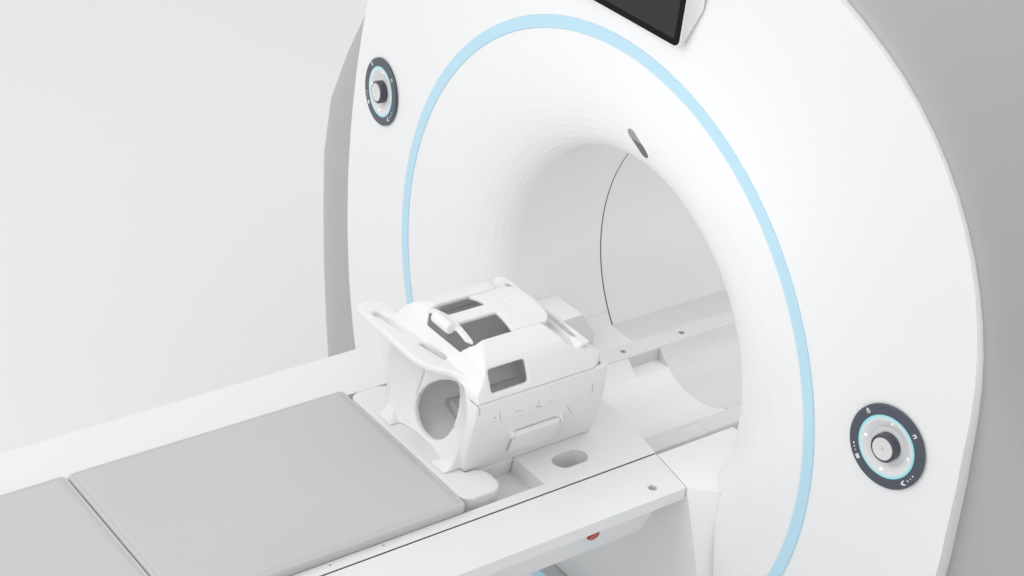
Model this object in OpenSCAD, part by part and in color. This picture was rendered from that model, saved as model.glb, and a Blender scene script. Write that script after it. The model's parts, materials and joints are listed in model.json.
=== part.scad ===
// MRI scanner: a ring-shaped gantry with a lit ring round its flared bore,
// and a patient table that lifts and slides a head and neck coil into it.
// Millimetres. The origin is on the floor under the isocentre, +Z is up,
// and the table stands on the -Y side, in line with the bore.

/* [Gantry] */
// Height of the isocentre above the floor
iso_h = 980; // [950:5:1040]
// Distance between the planes of the front and rear rings
gantry_len = 1600; // [1560:10:1900]
// Diameter of the patient bore
bore_d = 700; // [680:5:710]
// Diameter of the middle of the lit ring
ring_d = 1200; // [1180:5:1230]
// Width of the lit ring
ring_w = 24; // [16:1:34]
// How far the lit ring stands proud of the cover
ring_proud = 1.5; // [0.5:0.5:4]
// Depth over which the flare narrows from the ring to the bore
flare_depth = 110; // [95:5:130]
// Depth at which the flare cover ends and the bore tube begins
seam_depth = 330; // [300:5:360]
// Wall of the moulded covers
cover_t = 6; // [4:0.5:8]
// Wall of the side covers
side_t = 8; // [6:1:12]
// Gap between neighbouring covers
cover_gap = 0.3; // [0.2:0.1:0.6]
// Height of the covers' lower edge above the floor
cover_lift = 30; // [15:5:60]

/* [Cover outline] */
// How far the front cover's sides stand outside the magnet vessel
side_gap = 12; // [4:1:20]
// Radius of the front cover's sides
side_r = 3000; // [2600:50:4000]
// How much smaller the shoulders' radius is than the magnet vessel's
shoulder_drop = 250; // [220:5:270]
// Angle at which a shoulder begins
corner_a = 6; // [4:1:8]
// Angle at which a shoulder meets the top
top_a = 62; // [60:1:66]
// Radius of the dome of the front cover
dome_r = 1830; // [1600:10:2400]
// Radius at which the dome begins to fall away
dome_start = 540; // [500:10:580]
// Depth of the front cover's rim behind the ring plane
rim_y = 58; // [56:1:64]
// Depth of the rounded front edge of the side covers
edge_y = 52; // [40:2:70]
// How far the side covers stand outside the front cover at the top
body_grow = 25; // [15:1:40]
// How far the side covers swell out further down
hip_w = 188; // [120:4:220]
// Height below the isocentre at which they are widest
hip_drop = 103; // [60:5:140]
// Height over which the swelling runs out
hip_h = 500; // [440:10:540]

/* [Display] */
// Width of the display's bezel
screen_w = 308; // [290:2:320]
// Height of the display's bezel
screen_h = 190; // [160:2:200]
// Height of the bezel's lower edge above the isocentre
screen_z = 656; // [650:1:670]
// Depth of the bezel
screen_d = 12; // [8:1:16]
// Border round the lit part of the display
screen_rim = 11; // [6:1:20]
// Border of the housing round the bezel
shell_rim = 2.5; // [2:0.5:5]
// How far the housing swells out beside the bezel further up
shell_swell = 22; // [10:1:30]

/* [Control panels] */
// Distance of the control panels from the centre line
panel_x = 736; // [725:1:745]
// Height of the control panels above the isocentre
panel_z = 198; // [180:2:220]
// Radius of a control panel
panel_r = 72; // [64:1:80]
// Width of the panel's dark ring
panel_band = 18; // [14:1:22]
// Width of the glowing line inside the dark ring
glow_w = 3; // [2:0.5:4]
// How far a panel stands proud of the cover
panel_proud = 5; // [3:0.5:8]
// Depth of a panel behind its face
panel_d = 22; // [16:1:30]
// Radius of the turning knob
knob_r = 24; // [20:1:28]
// Height of the turning knob
knob_h = 15; // [10:1:20]
// Radius of the knob's push cap
cap_r = 19; // [14:0.5:20]
// Travel of the push cap
cap_travel = 2; // [1:0.5:3]

/* [Bore] */
// Depth of the gutters below the isocentre
gutter_z = 217; // [212:1:222]
// Width of a table rail in the bore
rail_w = 46; // [40:1:50]
// Height of a table rail in the bore
rail_h = 30; // [24:1:34]
// Distance of a rail's outer edge from the centre line
rail_x = 167; // [160:1:172]
// Depth of the trough between the rails
trough_d = 25; // [15:1:30]
// Distance between the screws of a rail
screw_pitch = 160; // [140:10:200]
// Radius of a rail screw's head
screw_head_r = 7; // [5:0.5:9]
// Radius of a rail screw's shank
screw_r = 3; // [2:0.5:4]

/* [Magnet] */
// Radius of the magnet vessel
vessel_r = 860; // [840:5:870]
// Length of the magnet vessel
vessel_len = 1270; // [1200:10:1290]
// Radius of the vessel's room-temperature bore
warm_bore_r = 450; // [440:2:460]
// Wall of the vessel
vessel_t = 14; // [8:1:20]
// Radius of the magnet's winding formers
former_r = 520; // [510:5:560]
// Thickness of the gradient coil
gradient_t = 70; // [60:1:75]
// Length of the gradient coil
gradient_len = 1140; // [1000:10:1180]
// Length of the body coil
body_coil_len = 620; // [500:10:700]
// Distance between the feet across the magnet
foot_x = 1160; // [1100:10:1200]
// Distance between the feet along the magnet
foot_y = 900; // [800:10:960]
// Width of a magnet foot
foot_w = 200; // [160:5:220]
// Thickness of a foot's floor flange
foot_flange = 25; // [20:1:40]
// Radius of the anchor holes
anchor_r = 11; // [9:0.5:14]

/* [Table] */
// Length of the patient table
table_len = 2464; // [2300:4:2600]
// Half width of the table over its side shelves
shelf_x = 338; // [330:1:345]
// Half width of the moving tabletop
top_x = 227; // [222:1:230]
// Depth of the tabletop's surface below the isocentre
top_z = 131; // [126:1:134]
// Thickness of the tabletop
top_t = 55.5; // [54:0.5:56]
// Height of the rims along the tabletop
top_rim = 6; // [4:1:10]
// Width of the rims along the tabletop
rim_w = 22; // [18:1:26]
// How far the tabletop's end bulges
top_bulge = 25; // [15:1:30]
// Gap between the tabletop and the shelves
top_gap = 2; // [1.5:0.5:4]
// Gap between the table's end and the dock
dock_gap = 2; // [1:0.5:4]
// Thickness of a side shelf's edge
shelf_t = 27; // [22:1:32]
// Depth of the table's body below the isocentre
table_low = 232; // [226:1:240]
// Half width of the underside of the table's body
table_low_x = 300; // [290:1:310]
// Travel of the tabletop into the bore
slide_travel = 1450; // [1200:10:1500]
// Travel of the table's lift
lift_travel = 300; // [240:5:320]
// Radius of the accessory sockets in the shelves
socket_r = 8; // [6:0.5:10]
// Depth of the accessory sockets
socket_d = 20; // [14:1:22]

/* [Drive and lift] */
// Module of the tabletop's rack and pinion
gear_m = 5; // [4:1:6]
// Number of teeth on the pinion
pinion_n = 18; // [16:1:22]
// Width of the rack
rack_w = 20; // [16:1:26]
// Radius of the drive shaft
shaft_r = 8; // [6:0.5:10]
// Length of the pedestal
pedestal_len = 1300; // [1200:10:1400]
// Width of the pedestal
pedestal_w = 460; // [420:5:500]
// Distance of the pedestal from the front of the gantry
pedestal_y = 380; // [340:5:420]
// Thickness of the skirts
skirt_t = 4; // [3:0.5:6]
// Thickness of the floor plate
plate_t = 20; // [16:1:25]
// Width of the floor duct
duct_w = 160; // [120:5:220]
// Radius of a lift ram
ram_r = 28; // [24:1:34]
// Radius of a lift cylinder
lift_r = 42; // [38:1:48]
// Radial clearance of a ram in its cylinder
ram_fit = 0.08; // [0.04:0.01:0.1]

/* [Head and neck coil] */
// Half width of the coil at its seam
coil_x = 150; // [140:1:156]
// Half width of the coil at its foot
coil_low_x = 113; // [108:1:122]
// Distance of the coil's patient end from the table's bore end
coil_y = 359; // [352:1:366]
// Length of the coil
coil_len = 284; // [270:2:300]
// Height of the coil's seam above the isocentre
seam_z = 42; // [38:1:46]
// Height of the coil's crown above the isocentre
crown_z = 122; // [116:1:130]
// Wall of the coil
coil_t = 10; // [8:1:12]
// Half width of the neck opening
neck_x = 56; // [50:1:60]
// Half height of the neck opening
neck_h = 48; // [42:1:52]
// Height of the coil's side windows
window_h = 38; // [30:1:42]
// Width of the coil's side windows
window_w = 80; // [70:2:86]
// Half width of the opening over the face
face_x = 68; // [60:1:74]
// Width of the arm of the bridge over the face
bridge_w = 30; // [24:1:40]
// Thickness of the handle bar at the coil's patient end
bar_t = 14; // [10:1:16]
// Angle through which a side latch swings out
latch_swing = 40; // [20:5:45]

/* [Hidden] */

seg = 256;
front_y = -gantry_len / 2;
rear_y = gantry_len / 2;
bore_r = bore_d / 2;
ring_in = (ring_d - ring_w) / 2;
ring_out = (ring_d + ring_w) / 2;
cover_low = iso_h - cover_lift;
table_y = front_y + 14;
eps = 0.01;

// Helpers

// Points of an arc in steps, from angle a0 to a1
function arc(cx, cz, r, a0, a1, n) =
  [for (i = [0:n]) let (a = a0 + (a1 - a0) * i / n)
    [cx + r * cos(a), cz + r * sin(a)]];

// The same points in reverse order
function reversed(p) = [for (i = [len(p) - 1:-1:0]) p[i]];

// The same points on the other side of the middle line, in reverse order
function mirrored(p) = [for (i = [len(p) - 1:-1:0]) [-p[i][0], p[i][1]]];

// Depth of the front cover's dome at a radius
function dome(r) = r < dome_start ? 0 : dome_r - sqrt(dome_r * dome_r - pow(r - dome_start, 2));

// Slope of the dome at a radius, in degrees
function dome_slope(r) = asin((r - dome_start) / dome_r);

// Extrudes a front-view outline, measured from the isocentre, between two depths
module prism_y(y0, y1) {
  translate([0, y1, iso_h])
    rotate([90, 0, 0])
      linear_extrude(height = y1 - y0)
        children();
}

// Extrudes a side-view outline, given as y and height above the isocentre
module prism_x(x0, x1) {
  translate([x0, 0, iso_h])
    rotate([90, 0, 90])
      linear_extrude(height = x1 - x0)
        children();
}

// Turns a section about the bore's axis. Its points are [radius, -y].
module turn_y(n = seg) {
  translate([0, 0, iso_h])
    rotate([90, 0, 0])
      rotate_extrude($fn = n)
        children();
}

// A hollow tube about the bore's axis
module tube_y(r_out, r_in, y0, y1, n = seg) {
  translate([0, y1, iso_h])
    rotate([90, 0, 0])
      difference() {
        cylinder(r = r_out, h = y1 - y0, $fn = n);
        translate([0, 0, -1])
          cylinder(r = r_in, h = y1 - y0 + 2, $fn = n);
      }
}

// A solid cylinder about the bore's axis
module rod_y(r, y0, y1, n = seg) {
  translate([0, y1, iso_h])
    rotate([90, 0, 0])
      cylinder(r = r, h = y1 - y0, $fn = n);
}

// A rectangle with round corners, centred on the origin
module round_rect(w, h, r, n = 48) {
  square([w - 2 * r, h], center = true);
  square([w, h - 2 * r], center = true);
  for (x = [-1, 1], y = [-1, 1])
    translate([x * (w / 2 - r), y * (h / 2 - r)])
      circle(r = r, $fn = n);
}

// Cover outline: side, shoulder and top arcs, grown outwards by g

side_x = vessel_r + side_gap;
corner_r = vessel_r - shoulder_drop;
shoulder_x = side_x - side_r + (side_r - corner_r) * cos(corner_a);
shoulder_z = (side_r - corner_r) * sin(corner_a);
top_r = corner_r + shoulder_x / cos(top_a);
top_c = shoulder_z - shoulder_x * tan(top_a);

function outline_half(g, low, n_side = 10, n_corner = 12, n_top = 8) =
  let (a0 = asin(-low / (side_r + g)),
     side = arc(side_x - side_r, 0, side_r + g, a0, corner_a, n_side),
     shoulder = arc(shoulder_x, shoulder_z, corner_r + g, corner_a, top_a, n_corner),
     top = arc(0, top_c, top_r + g, top_a, 90, n_top))
  concat(side, [for (i = [1:n_corner]) shoulder[i]], [for (i = [1:n_top]) top[i]]);

function outline(g, low) =
  let (h = outline_half(g, low), m = mirrored(h))
  concat(h, [for (i = [1:len(m) - 1]) m[i]]);

// Everything behind the domed face, moved back by a depth
module behind_dome(back, y1) {
  r_end = sqrt(pow(dome_r, 2) - pow(dome_r - rim_y + 2, 2)) + dome_start;
  face = [for (i = [0:14]) let (r = dome_start + (r_end - dome_start) * i / 14)
    [r, -(front_y + dome(r) + back)]];
  turn_y()
    polygon(concat([[0, -(front_y + back)]], face,
      [[1500, -(front_y + rim_y - 2 + back)], [1500, -y1], [0, -y1]]));
}

// Gantry covers

// The domed face shared by the front and the rear cover
module domed_cover() {
  difference() {
    intersection() {
      prism_y(front_y - 10, front_y + rim_y)
        polygon(outline(0, cover_low));
      behind_dome(0, front_y + rim_y + 10);
    }
    intersection() {
      prism_y(front_y - 20, front_y + rim_y + 20)
        polygon(outline(-cover_t, cover_low - cover_t));
      behind_dome(cover_t, front_y + rim_y + 30);
    }
    rod_y(ring_out + cover_gap, front_y - 20, front_y + rim_y + 20);
  }
}

module front_cover() {
  color("white")
    difference() {
      domed_cover();
      display_place()
        translate([0, 0, -60])
          linear_extrude(height = 120)
            round_rect(screen_w + 2 * shell_rim - 8, screen_h + 2 * shell_rim - 8, 12);
      for (s = [-1, 1])
        panel_place(s)
          translate([0, 0, -panel_d - 30])
            cylinder(r = panel_r - 4, h = panel_d + 60, $fn = 96);
    }
}

module rear_cover() {
  color("white")
    mirror([0, 1, 0])
      domed_cover();
}

// Section of the flare: a quarter ellipse from the ring to the bore, then straight
function flare_face(back, n = 14) =
  [for (i = [0:n]) let (a = 90 * i / n)
    [ring_in - cover_gap - (ring_in - cover_gap - bore_r - back) * sin(a),
     -(front_y + back + flare_depth * (1 - cos(a)))]];

module flare_shell() {
  outer = flare_face(0);
  inner = flare_face(cover_t);
  turn_y()
    polygon(concat(outer, [[bore_r, -(front_y + seam_depth)],
      [bore_r + cover_t, -(front_y + seam_depth)]],
      [for (i = [len(inner) - 1:-1:0]) inner[i]]));
}

// Side view of the dock's top: level with the table, then down to the gutters
dock_x = shelf_x + 46;
dock_slope_y = front_y + 205;
dock_end_y = front_y + 245;
flare_edge_z = 193;

function dock_top(drop) =
  [[dock_slope_y, -top_z - 2 - drop], [dock_end_y, -flare_edge_z - drop]];

// Front view of the dock, widening towards the floor, grown outwards by g
function dock_half(g) =
  [[dock_x + g, 0], [dock_x + g, -top_z - 2], [dock_x + 8 + g, -184],
   [dock_x + 23 + g, -216], [dock_x + 56 + g, -300], [dock_x + 103 + g, -400],
   [dock_x + 120 + g, -ring_in - 20]];

module dock_outline(g) {
  polygon(concat(dock_half(g), mirrored(dock_half(g))));
}

module front_flare() {
  color("white")
    difference() {
      flare_shell();
      intersection() {
        prism_x(-ring_in, ring_in)
          polygon(concat([[front_y - 20, -ring_in - 10], [front_y - 20, -top_z - 2 + 0.5]],
            dock_top(-0.5),
            [[front_y + seam_depth + 20, -flare_edge_z + 0.5],
             [front_y + seam_depth + 20, -ring_in - 10]]));
        prism_y(front_y - 30, front_y + seam_depth + 30)
          dock_outline(0.5);
      }
      sensor_place()
        translate([0, 0, -40])
          linear_extrude(height = 80)
            oval(sensor_l, sensor_w);
    }
}

module rear_flare() {
  color("white")
    mirror([0, 1, 0])
      flare_shell();
}

module light_ring() {
  color("lightblue")
    turn_y()
      polygon([[ring_in, -(front_y + cover_t)], [ring_in, -(front_y - ring_proud + 1)],
        [ring_in + 1, -(front_y - ring_proud)], [ring_out - 1, -(front_y - ring_proud)],
        [ring_out, -(front_y - ring_proud + 1)], [ring_out, -(front_y + cover_t)]]);
}

// Front corner of the dock: a slanting flat from the end of the shelf to the flare
corner_lean = 0.4;

module dock_corner() {
  translate([shelf_x - 1, dock_front, iso_h - top_z])
    rotate([0, -atan(corner_lean / sqrt(2)), -45])
      translate([0, -600, -900])
        cube([500, 1200, 1500]);
}

// Cover in front of the magnet that the table docks against
module dock_cover() {
  slot_x = top_x + 5;
  recess_y = table_y + top_bulge + 4;
  color("white")
    difference() {
      intersection() {
        prism_x(-ring_in, ring_in)
          polygon(concat([[front_y - 20, -ring_in - 10], [front_y - 20, -top_z - 2]],
            dock_top(0), [[front_y + seam_depth, -flare_edge_z],
              [front_y + seam_depth, -ring_in - 10]]));
        prism_y(front_y - 20, front_y + seam_depth + 5)
          dock_outline(0);
        union() {
          rod_y(ring_in - cover_gap, dock_front, front_y + 150);
          rod_y(bore_r + cover_t, front_y + 149, front_y + seam_depth);
        }
      }
      // the bowed end of the table, and the corners beside it
      translate([0, body_bow_y, 0])
        cylinder(r = body_bow_r + dock_gap, h = 2 * iso_h, $fn = seg);
      for (s = [0, 1])
        mirror([s, 0, 0])
          dock_corner();
      // recess that the tabletop's end passes when the table is lowered
      intersection() {
        translate([0, recess_y - end_r, 0])
          cylinder(r = end_r, h = 2 * iso_h, $fn = seg);
        translate([-slot_x, front_y - 100, 0])
          cube([2 * slot_x, 300, 2 * iso_h]);
      }
      // slot for the tabletop, with the seats of the rails and the trough
      prism_y(front_y - 20, front_y + seam_depth + 1)
        polygon(concat([[-slot_x, 0], [-slot_x, -gutter_z]],
          trough_line(), [[slot_x, -gutter_z], [slot_x, 0]]));
      // behind the deck the gutters reach out to the bore's wall
      intersection() {
        rod_y(bore_r, dock_end_y, front_y + seam_depth + 1);
        translate([-bore_r, front_y, iso_h - gutter_z])
          cube([bore_d, seam_depth + 1, bore_r]);
      }
      intersection() {
        rod_y(ring_in - cover_gap - side_t, recess_y + side_t, front_y + 160);
        prism_y(recess_y + side_t, front_y + 160)
          translate([-shelf_x + side_t, -ring_in - 40])
            square([2 * (shelf_x - side_t), ring_in + 40 - gutter_z - trough_d - side_t]);
      }
    }
}

// Front view of the floor between the gutters, from left to right: it rises beside
// the rails' inner edges and then dips into the trough
rail_in = rail_x - rail_w;
trough_x = rail_in - 0.3;
trough_h = trough_d + rail_h - 2;
trough_r = (pow(trough_x, 2) + pow(trough_h, 2)) / (2 * trough_h);
trough_a = asin(trough_x / trough_r);

function trough_line() =
  concat([[-trough_x, -gutter_z]],
    arc(0, trough_r - gutter_z - trough_d, trough_r, 270 - trough_a, 270 + trough_a, 20),
    [[trough_x, -gutter_z]]);

// Side covers: a lofted shell from the front rim round to the rear rim

loft_n = 6;

// Half outline of the side covers for a growth that runs from 0 at the rim to 1
function body_half(f, shrink) =
  let (p = outline_half(3 + (body_grow - 3) * f - shrink, cover_low, 9, 9, 6))
  [for (q = p) let (
    d = (q[1] + hip_drop) / hip_h,
    swell = q[1] < -hip_drop ? hip_w : hip_w * pow(max(0, 1 - d * d), 1.5))
    [q[0] + swell * f, q[1]]];

// Depth and growth of a section at an angle round the rounded front edge
function edge_station(a, t) =
  [front_y + rim_y + t * sin(a) + (edge_y - t) * (1 - cos(a)), sin(a)];

// Sections from front to back. The inner ones start flush with the rim they seat on.
function body_stations(t) =
  let (front = [for (i = [0:loft_n]) edge_station(90 * i / loft_n, t)],
     rear = [for (i = [loft_n:-1:0]) [-front[i][0], front[i][1]]])
  concat(front, rear);

function body_points(t) =
  [for (s = body_stations(t), q = body_half(s[1], t)) [q[0], s[0], iso_h + q[1]]];

module side_shell() {
  outer = body_points(0);
  inner = body_points(side_t);
  nv = 2 * (loft_n + 1);
  nu = len(outer) / nv;
  n = len(outer);
  grid = [for (v = [0:nv - 2], u = [0:nu - 2])
    [v * nu + u, v * nu + u + 1, (v + 1) * nu + u + 1, (v + 1) * nu + u]];
  front = [for (u = [0:nu - 2]) [u, n + u, n + u + 1, u + 1]];
  back = [for (u = [0:nu - 2]) let (k = (nv - 1) * nu + u) [k + 1, n + k + 1, n + k, k]];
  foot = [for (v = [0:nv - 2]) let (k = v * nu) [k, k + nu, n + k + nu, n + k]];
  crest = [for (v = [0:nv - 2]) let (k = v * nu + nu - 1) [n + k, n + k + nu, k + nu, k]];
  quads = concat(
    [for (q = grid) [q[3], q[2], q[1], q[0]]],
    [for (q = grid) [q[0] + n, q[1] + n, q[2] + n, q[3] + n]],
    [for (q = front) [q[3], q[2], q[1], q[0]]],
    [for (q = back) [q[3], q[2], q[1], q[0]]],
    [for (q = foot) [q[3], q[2], q[1], q[0]]],
    [for (q = crest) [q[3], q[2], q[1], q[0]]]);
  polyhedron(points = concat(outer, inner),
    faces = [for (q = quads, k = [0, 1]) k == 0 ? [q[0], q[1], q[2]] : [q[0], q[2], q[3]]]);
}

module side_cover_right() {
  color("lightgray")
    difference() {
      side_shell();
      translate([-50, -gantry_len, 0])
        cube([50 + cover_gap / 2, 2 * gantry_len, 3 * iso_h]);
    }
}

module side_cover_left() {
  mirror([1, 0, 0])
    side_cover_right();
}

// Bore

module bore_liner() {
  color("gainsboro")
    tube_y(bore_r + side_t, bore_r, front_y + seam_depth + 0.5, rear_y - seam_depth - 0.5);
}

module bore_bridge() {
  r = bore_r - cover_gap;
  a = acos(gutter_z / r);
  y0 = front_y + seam_depth + 0.5;
  y1 = rear_y - 60;
  b = acos((gutter_z + trough_d + side_t) / (r - side_t));
  color("gainsboro")
    difference() {
      prism_y(y0, y1)
        polygon(concat(arc(0, 0, r, 270 - a, 270 + a, 24), reversed(trough_line())));
      prism_y(y0 - 1, y1 + 1)
        polygon(arc(0, 0, r - side_t, 270 - b, 270 + b, 24));
    }
}

rail_y0 = front_y + 60;
rail_y1 = rear_y - 80;
screw_n = floor((rail_y1 - rail_y0 - 60) / screw_pitch);

// Places the children at each screw of one rail, at the top of the rail. The right
// rail has its catch in place of the first screws.
right_first = 2;

module each_screw(first) {
  for (i = [first:screw_n])
    translate([rail_x - rail_w / 2, rail_y0 + 30 + i * screw_pitch, iso_h - gutter_z + rail_h])
      children();
}

latch_y = front_y + 189;
latch_l = 46;
latch_w = 30;
latch_d = 4;

module bore_rail(first) {
  difference() {
    prism_y(rail_y0, rail_y1)
      polygon([[rail_in, -gutter_z], [rail_in, -gutter_z + rail_h - 2],
        [rail_in + 2, -gutter_z + rail_h], [rail_x - 2, -gutter_z + rail_h],
        [rail_x, -gutter_z + rail_h - 2], [rail_x, -gutter_z]]);
    each_screw(first) {
      translate([0, 0, -3])
        cylinder(r = screw_head_r + 0.1, h = 10, $fn = 32);
      translate([0, 0, -rail_h - 5])
        cylinder(r = screw_r + 0.1, h = rail_h + 5, $fn = 24);
    }
  }
}

module bore_rail_left() {
  color("whitesmoke")
    mirror([1, 0, 0])
      bore_rail(0);
}

module bore_rail_right() {
  color("whitesmoke")
    difference() {
      bore_rail(right_first);
      latch_place()
        translate([0, 0, -latch_d - 1])
          linear_extrude(height = latch_d + 10)
            round_rect(latch_w + 1, latch_l + 1, 3);
    }
}

module latch_place() {
  translate([rail_x - rail_w / 2, latch_y, iso_h - gutter_z + rail_h])
    children();
}

module rail_latch() {
  color("white")
    latch_place()
      translate([0, 0, -latch_d - 1])
        linear_extrude(height = latch_d + 0.8)
          round_rect(latch_w, latch_l, 2.5);
}

module rail_screws() {
  color("silver")
    for (s = [0, 1])
      mirror([s, 0, 0])
        each_screw(s == 0 ? right_first : 0) {
          difference() {
            translate([0, 0, -3])
              cylinder(r = screw_head_r, h = 2.6, $fn = 32);
            translate([0, 0, -2])
              cylinder(r = 3, h = 3, $fn = 6);
          }
          translate([0, 0, -rail_h])
            cylinder(r = screw_r, h = rail_h - 2.9, $fn = 24);
        }
}

// Sensor window in the flare, over the bore's mouth
sensor_l = 62;
sensor_w = 27;

module oval(l, w) {
  square([l - w, w], center = true);
  for (s = [-1, 1])
    translate([s * (l - w) / 2, 0])
      circle(d = w, $fn = 48);
}

sensor_a = 6.1;
sensor_r = 423;
sensor_tilt = 23;

module sensor_place() {
  translate([0, 0, iso_h])
    rotate([0, sensor_a, 0])
      translate([0, front_y + 29.6, sensor_r])
        rotate([90 + sensor_tilt, 0, 0])
          rotate([0, 0, -41])
            children();
}

module sensor_window() {
  color("dimgray")
    sensor_place()
      translate([0, 0, -14])
        linear_extrude(height = 12.5)
          oval(sensor_l - 0.6, sensor_w - 0.6);
}

// Display

screen_tilt = 1.4;
screen_mid = screen_z + screen_h / 2;
// The lower edge stands flush with the cover, and the housing fills the wedge behind
screen_out = dome(screen_mid) - dome(screen_z) - screen_h / 2 * sin(screen_tilt);
screen_fall = dome(screen_z + screen_h) - dome(screen_z) - screen_h * sin(screen_tilt);
screen_sag = (dome(screen_z + screen_h) + dome(screen_z)) / 2 - dome(screen_mid);

module display_place() {
  translate([0, front_y + dome(screen_mid) - screen_out, iso_h + screen_mid])
    rotate([90 - screen_tilt, 0, 0])
      children();
}

// Shell behind the bezel, which swells out to the sides and fills the wedge to the cover
module display_shell(w, h) {
  r = 14;
  rise = 76 - r;
  lean = atan(shell_swell / rise);
  half = concat(arc(w / 2 - r, r - h / 2, r, -90, -lean, 6),
    arc(w / 2 - r + shell_swell, 76 - h / 2, r, -lean, 0, 2),
    arc(w / 2 - r + shell_swell, h / 2 + 8 - r, r, 0, 90, 6));
  side = [[w / 2, screen_d + 3], [w / 2, screen_d + 1], [w / 2 + shell_swell + 2, -4],
    [w / 2 + shell_swell + 2, -60]];
  back = screen_sag + cover_gap + 0.1;
  slope = screen_fall / screen_h;
  intersection() {
    translate([0, 0, -60])
      linear_extrude(height = 63 + screen_d)
        polygon(concat(half, mirrored(half)));
    rotate([90, 0, 0])
      linear_extrude(height = 2 * h, center = true)
        polygon(concat(mirrored(side), side));
    rotate([90, 0, 90])
      linear_extrude(height = 2 * w, center = true)
        polygon([[-h / 2, screen_d + 3], [-h / 2, back], [h / 2 + 8, back - (h + 8) * slope],
          [h / 2 + 8, 0], [h / 2, screen_d + 1], [h / 2, screen_d + 3]]);
  }
}

module display_housing() {
  w = screen_w + 2 * shell_rim;
  h = screen_h + 2 * shell_rim;
  color("white")
    display_place()
      difference() {
        union() {
          translate([0, 0, -32])
            linear_extrude(height = 40)
              round_rect(w - 9, h - 9, 11);
          display_shell(w, h);
        }
        translate([0, 0, 5])
          linear_extrude(height = screen_d + 10)
            round_rect(screen_w + 0.6, screen_h + 0.6, 12.3);
        translate([0, 0, -33])
          linear_extrude(height = 34)
            round_rect(w - 18, h - 18, 8);
      }
}

module display_bezel() {
  color("black")
    display_place()
      difference() {
        translate([0, 0, 5])
          linear_extrude(height = screen_d)
            round_rect(screen_w, screen_h, 12);
        translate([0, 0, 5 + screen_d - 3])
          linear_extrude(height = 10)
            round_rect(screen_w - 2 * screen_rim + 0.2, screen_h - 2 * screen_rim + 0.2, 5.1);
      }
}

module display_glass() {
  color("dimgray")
    display_place()
      translate([0, 0, 5 + screen_d - 3])
        linear_extrude(height = 2.6)
          round_rect(screen_w - 2 * screen_rim, screen_h - 2 * screen_rim, 5);
}

// Control panels

panel_dist = sqrt(panel_x * panel_x + panel_z * panel_z);

// Stands a panel on the dome, facing out along the dome's normal
module panel_place(s) {
  a = atan2(panel_z, s * panel_x);
  translate([0, 0, iso_h])
    rotate([0, -a, 0])
      translate([panel_dist, front_y + dome(panel_dist), 0])
        rotate([0, 0, dome_slope(panel_dist)])
          rotate([90, a, 0])
            children();
}

inner_r = panel_r - panel_band;
dish_r = inner_r - glow_w;
dish_depth = 6;
shaft_hole_r = 9;

module panel_ring(s) {
  color("slategray")
    panel_place(s)
      difference() {
        union() {
          translate([0, 0, -panel_d])
            cylinder(r = panel_r - 4.5, h = panel_d + 1, $fn = 128);
          translate([0, 0, 1])
            cylinder(r = panel_r, h = panel_proud - 2.5, $fn = 128);
          translate([0, 0, panel_proud - 1.5])
            cylinder(r1 = panel_r, r2 = panel_r - 1.5, h = 1.5, $fn = 128);
        }
        translate([0, 0, -panel_d + 4])
          cylinder(r = inner_r, h = panel_d + 20, $fn = 128);
        translate([0, 0, -panel_d - 1])
          cylinder(r = shaft_hole_r + 2, h = 10, $fn = 48);
      }
}

module panel_glow(s) {
  color("cyan")
    panel_place(s)
      difference() {
        translate([0, 0, -panel_d + 4])
          cylinder(r = inner_r - 0.05, h = panel_d + panel_proud - 4.5, $fn = 128);
        translate([0, 0, -panel_d])
          cylinder(r = dish_r, h = panel_d + 20, $fn = 128);
      }
}

module panel_dish(s) {
  color("white")
    panel_place(s)
      difference() {
        translate([0, 0, -panel_d + 4])
          cylinder(r = dish_r - 0.05, h = panel_d + panel_proud - 4, $fn = 128);
        translate([0, 0, panel_proud - dish_depth])
          cylinder(r1 = knob_r + 8, r2 = dish_r - 5, h = dish_depth + 0.01, $fn = 96);
        translate([0, 0, -panel_d])
          cylinder(r = shaft_hole_r, h = panel_d + 20, $fn = 48);
      }
}

knob_z = panel_proud - dish_depth + 0.4;

module knob(s) {
  color("gray")
    panel_place(s)
      difference() {
        union() {
          translate([0, 0, knob_z])
            cylinder(r = knob_r, h = knob_h - 2, $fn = 96);
          translate([0, 0, knob_z + knob_h - 2])
            cylinder(r1 = knob_r, r2 = knob_r - 2, h = 2, $fn = 96);
          translate([0, 0, -panel_d + 4.4])
            cylinder(r = shaft_hole_r - 0.08, h = panel_d + knob_z - 4.3, $fn = 48);
        }
        translate([0, 0, knob_z + knob_h - 5])
          cylinder(r = cap_r + 0.1, h = 10, $fn = 96);
        translate([0, 0, knob_z + knob_h - 5 - cap_travel - 8])
          cylinder(r = 5.1, h = 20, $fn = 48);
      }
}

module knob_cap(s) {
  color("white")
    panel_place(s) {
      difference() {
        translate([0, 0, knob_z + knob_h - 5 + cap_travel + 0.3])
          cylinder(r = cap_r, h = 3.4, $fn = 96);
        translate([0, 0, knob_z + knob_h - 1.8 + cap_travel])
          cylinder(r1 = cap_r - 8, r2 = cap_r - 3, h = 0.6, $fn = 96);
      }
      translate([0, 0, knob_z + knob_h - 12.5])
        cylinder(r = 5.02, h = 7.6 + cap_travel + 0.4, $fn = 48);
    }
}

module panel_ring_left() { panel_ring(-1); }
module panel_ring_right() { panel_ring(1); }
module panel_glow_left() { panel_glow(-1); }
module panel_glow_right() { panel_glow(1); }
module panel_dish_left() { panel_dish(-1); }
module panel_dish_right() { panel_dish(1); }
module knob_left() { knob(-1); }
module knob_right() { knob(1); }
module knob_cap_left() { knob_cap(-1); }
module knob_cap_right() { knob_cap(1); }

// Magnet

vessel_y = vessel_len / 2;
gradient_out = warm_bore_r - 0.3;
gradient_in = gradient_out - gradient_t;

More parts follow.
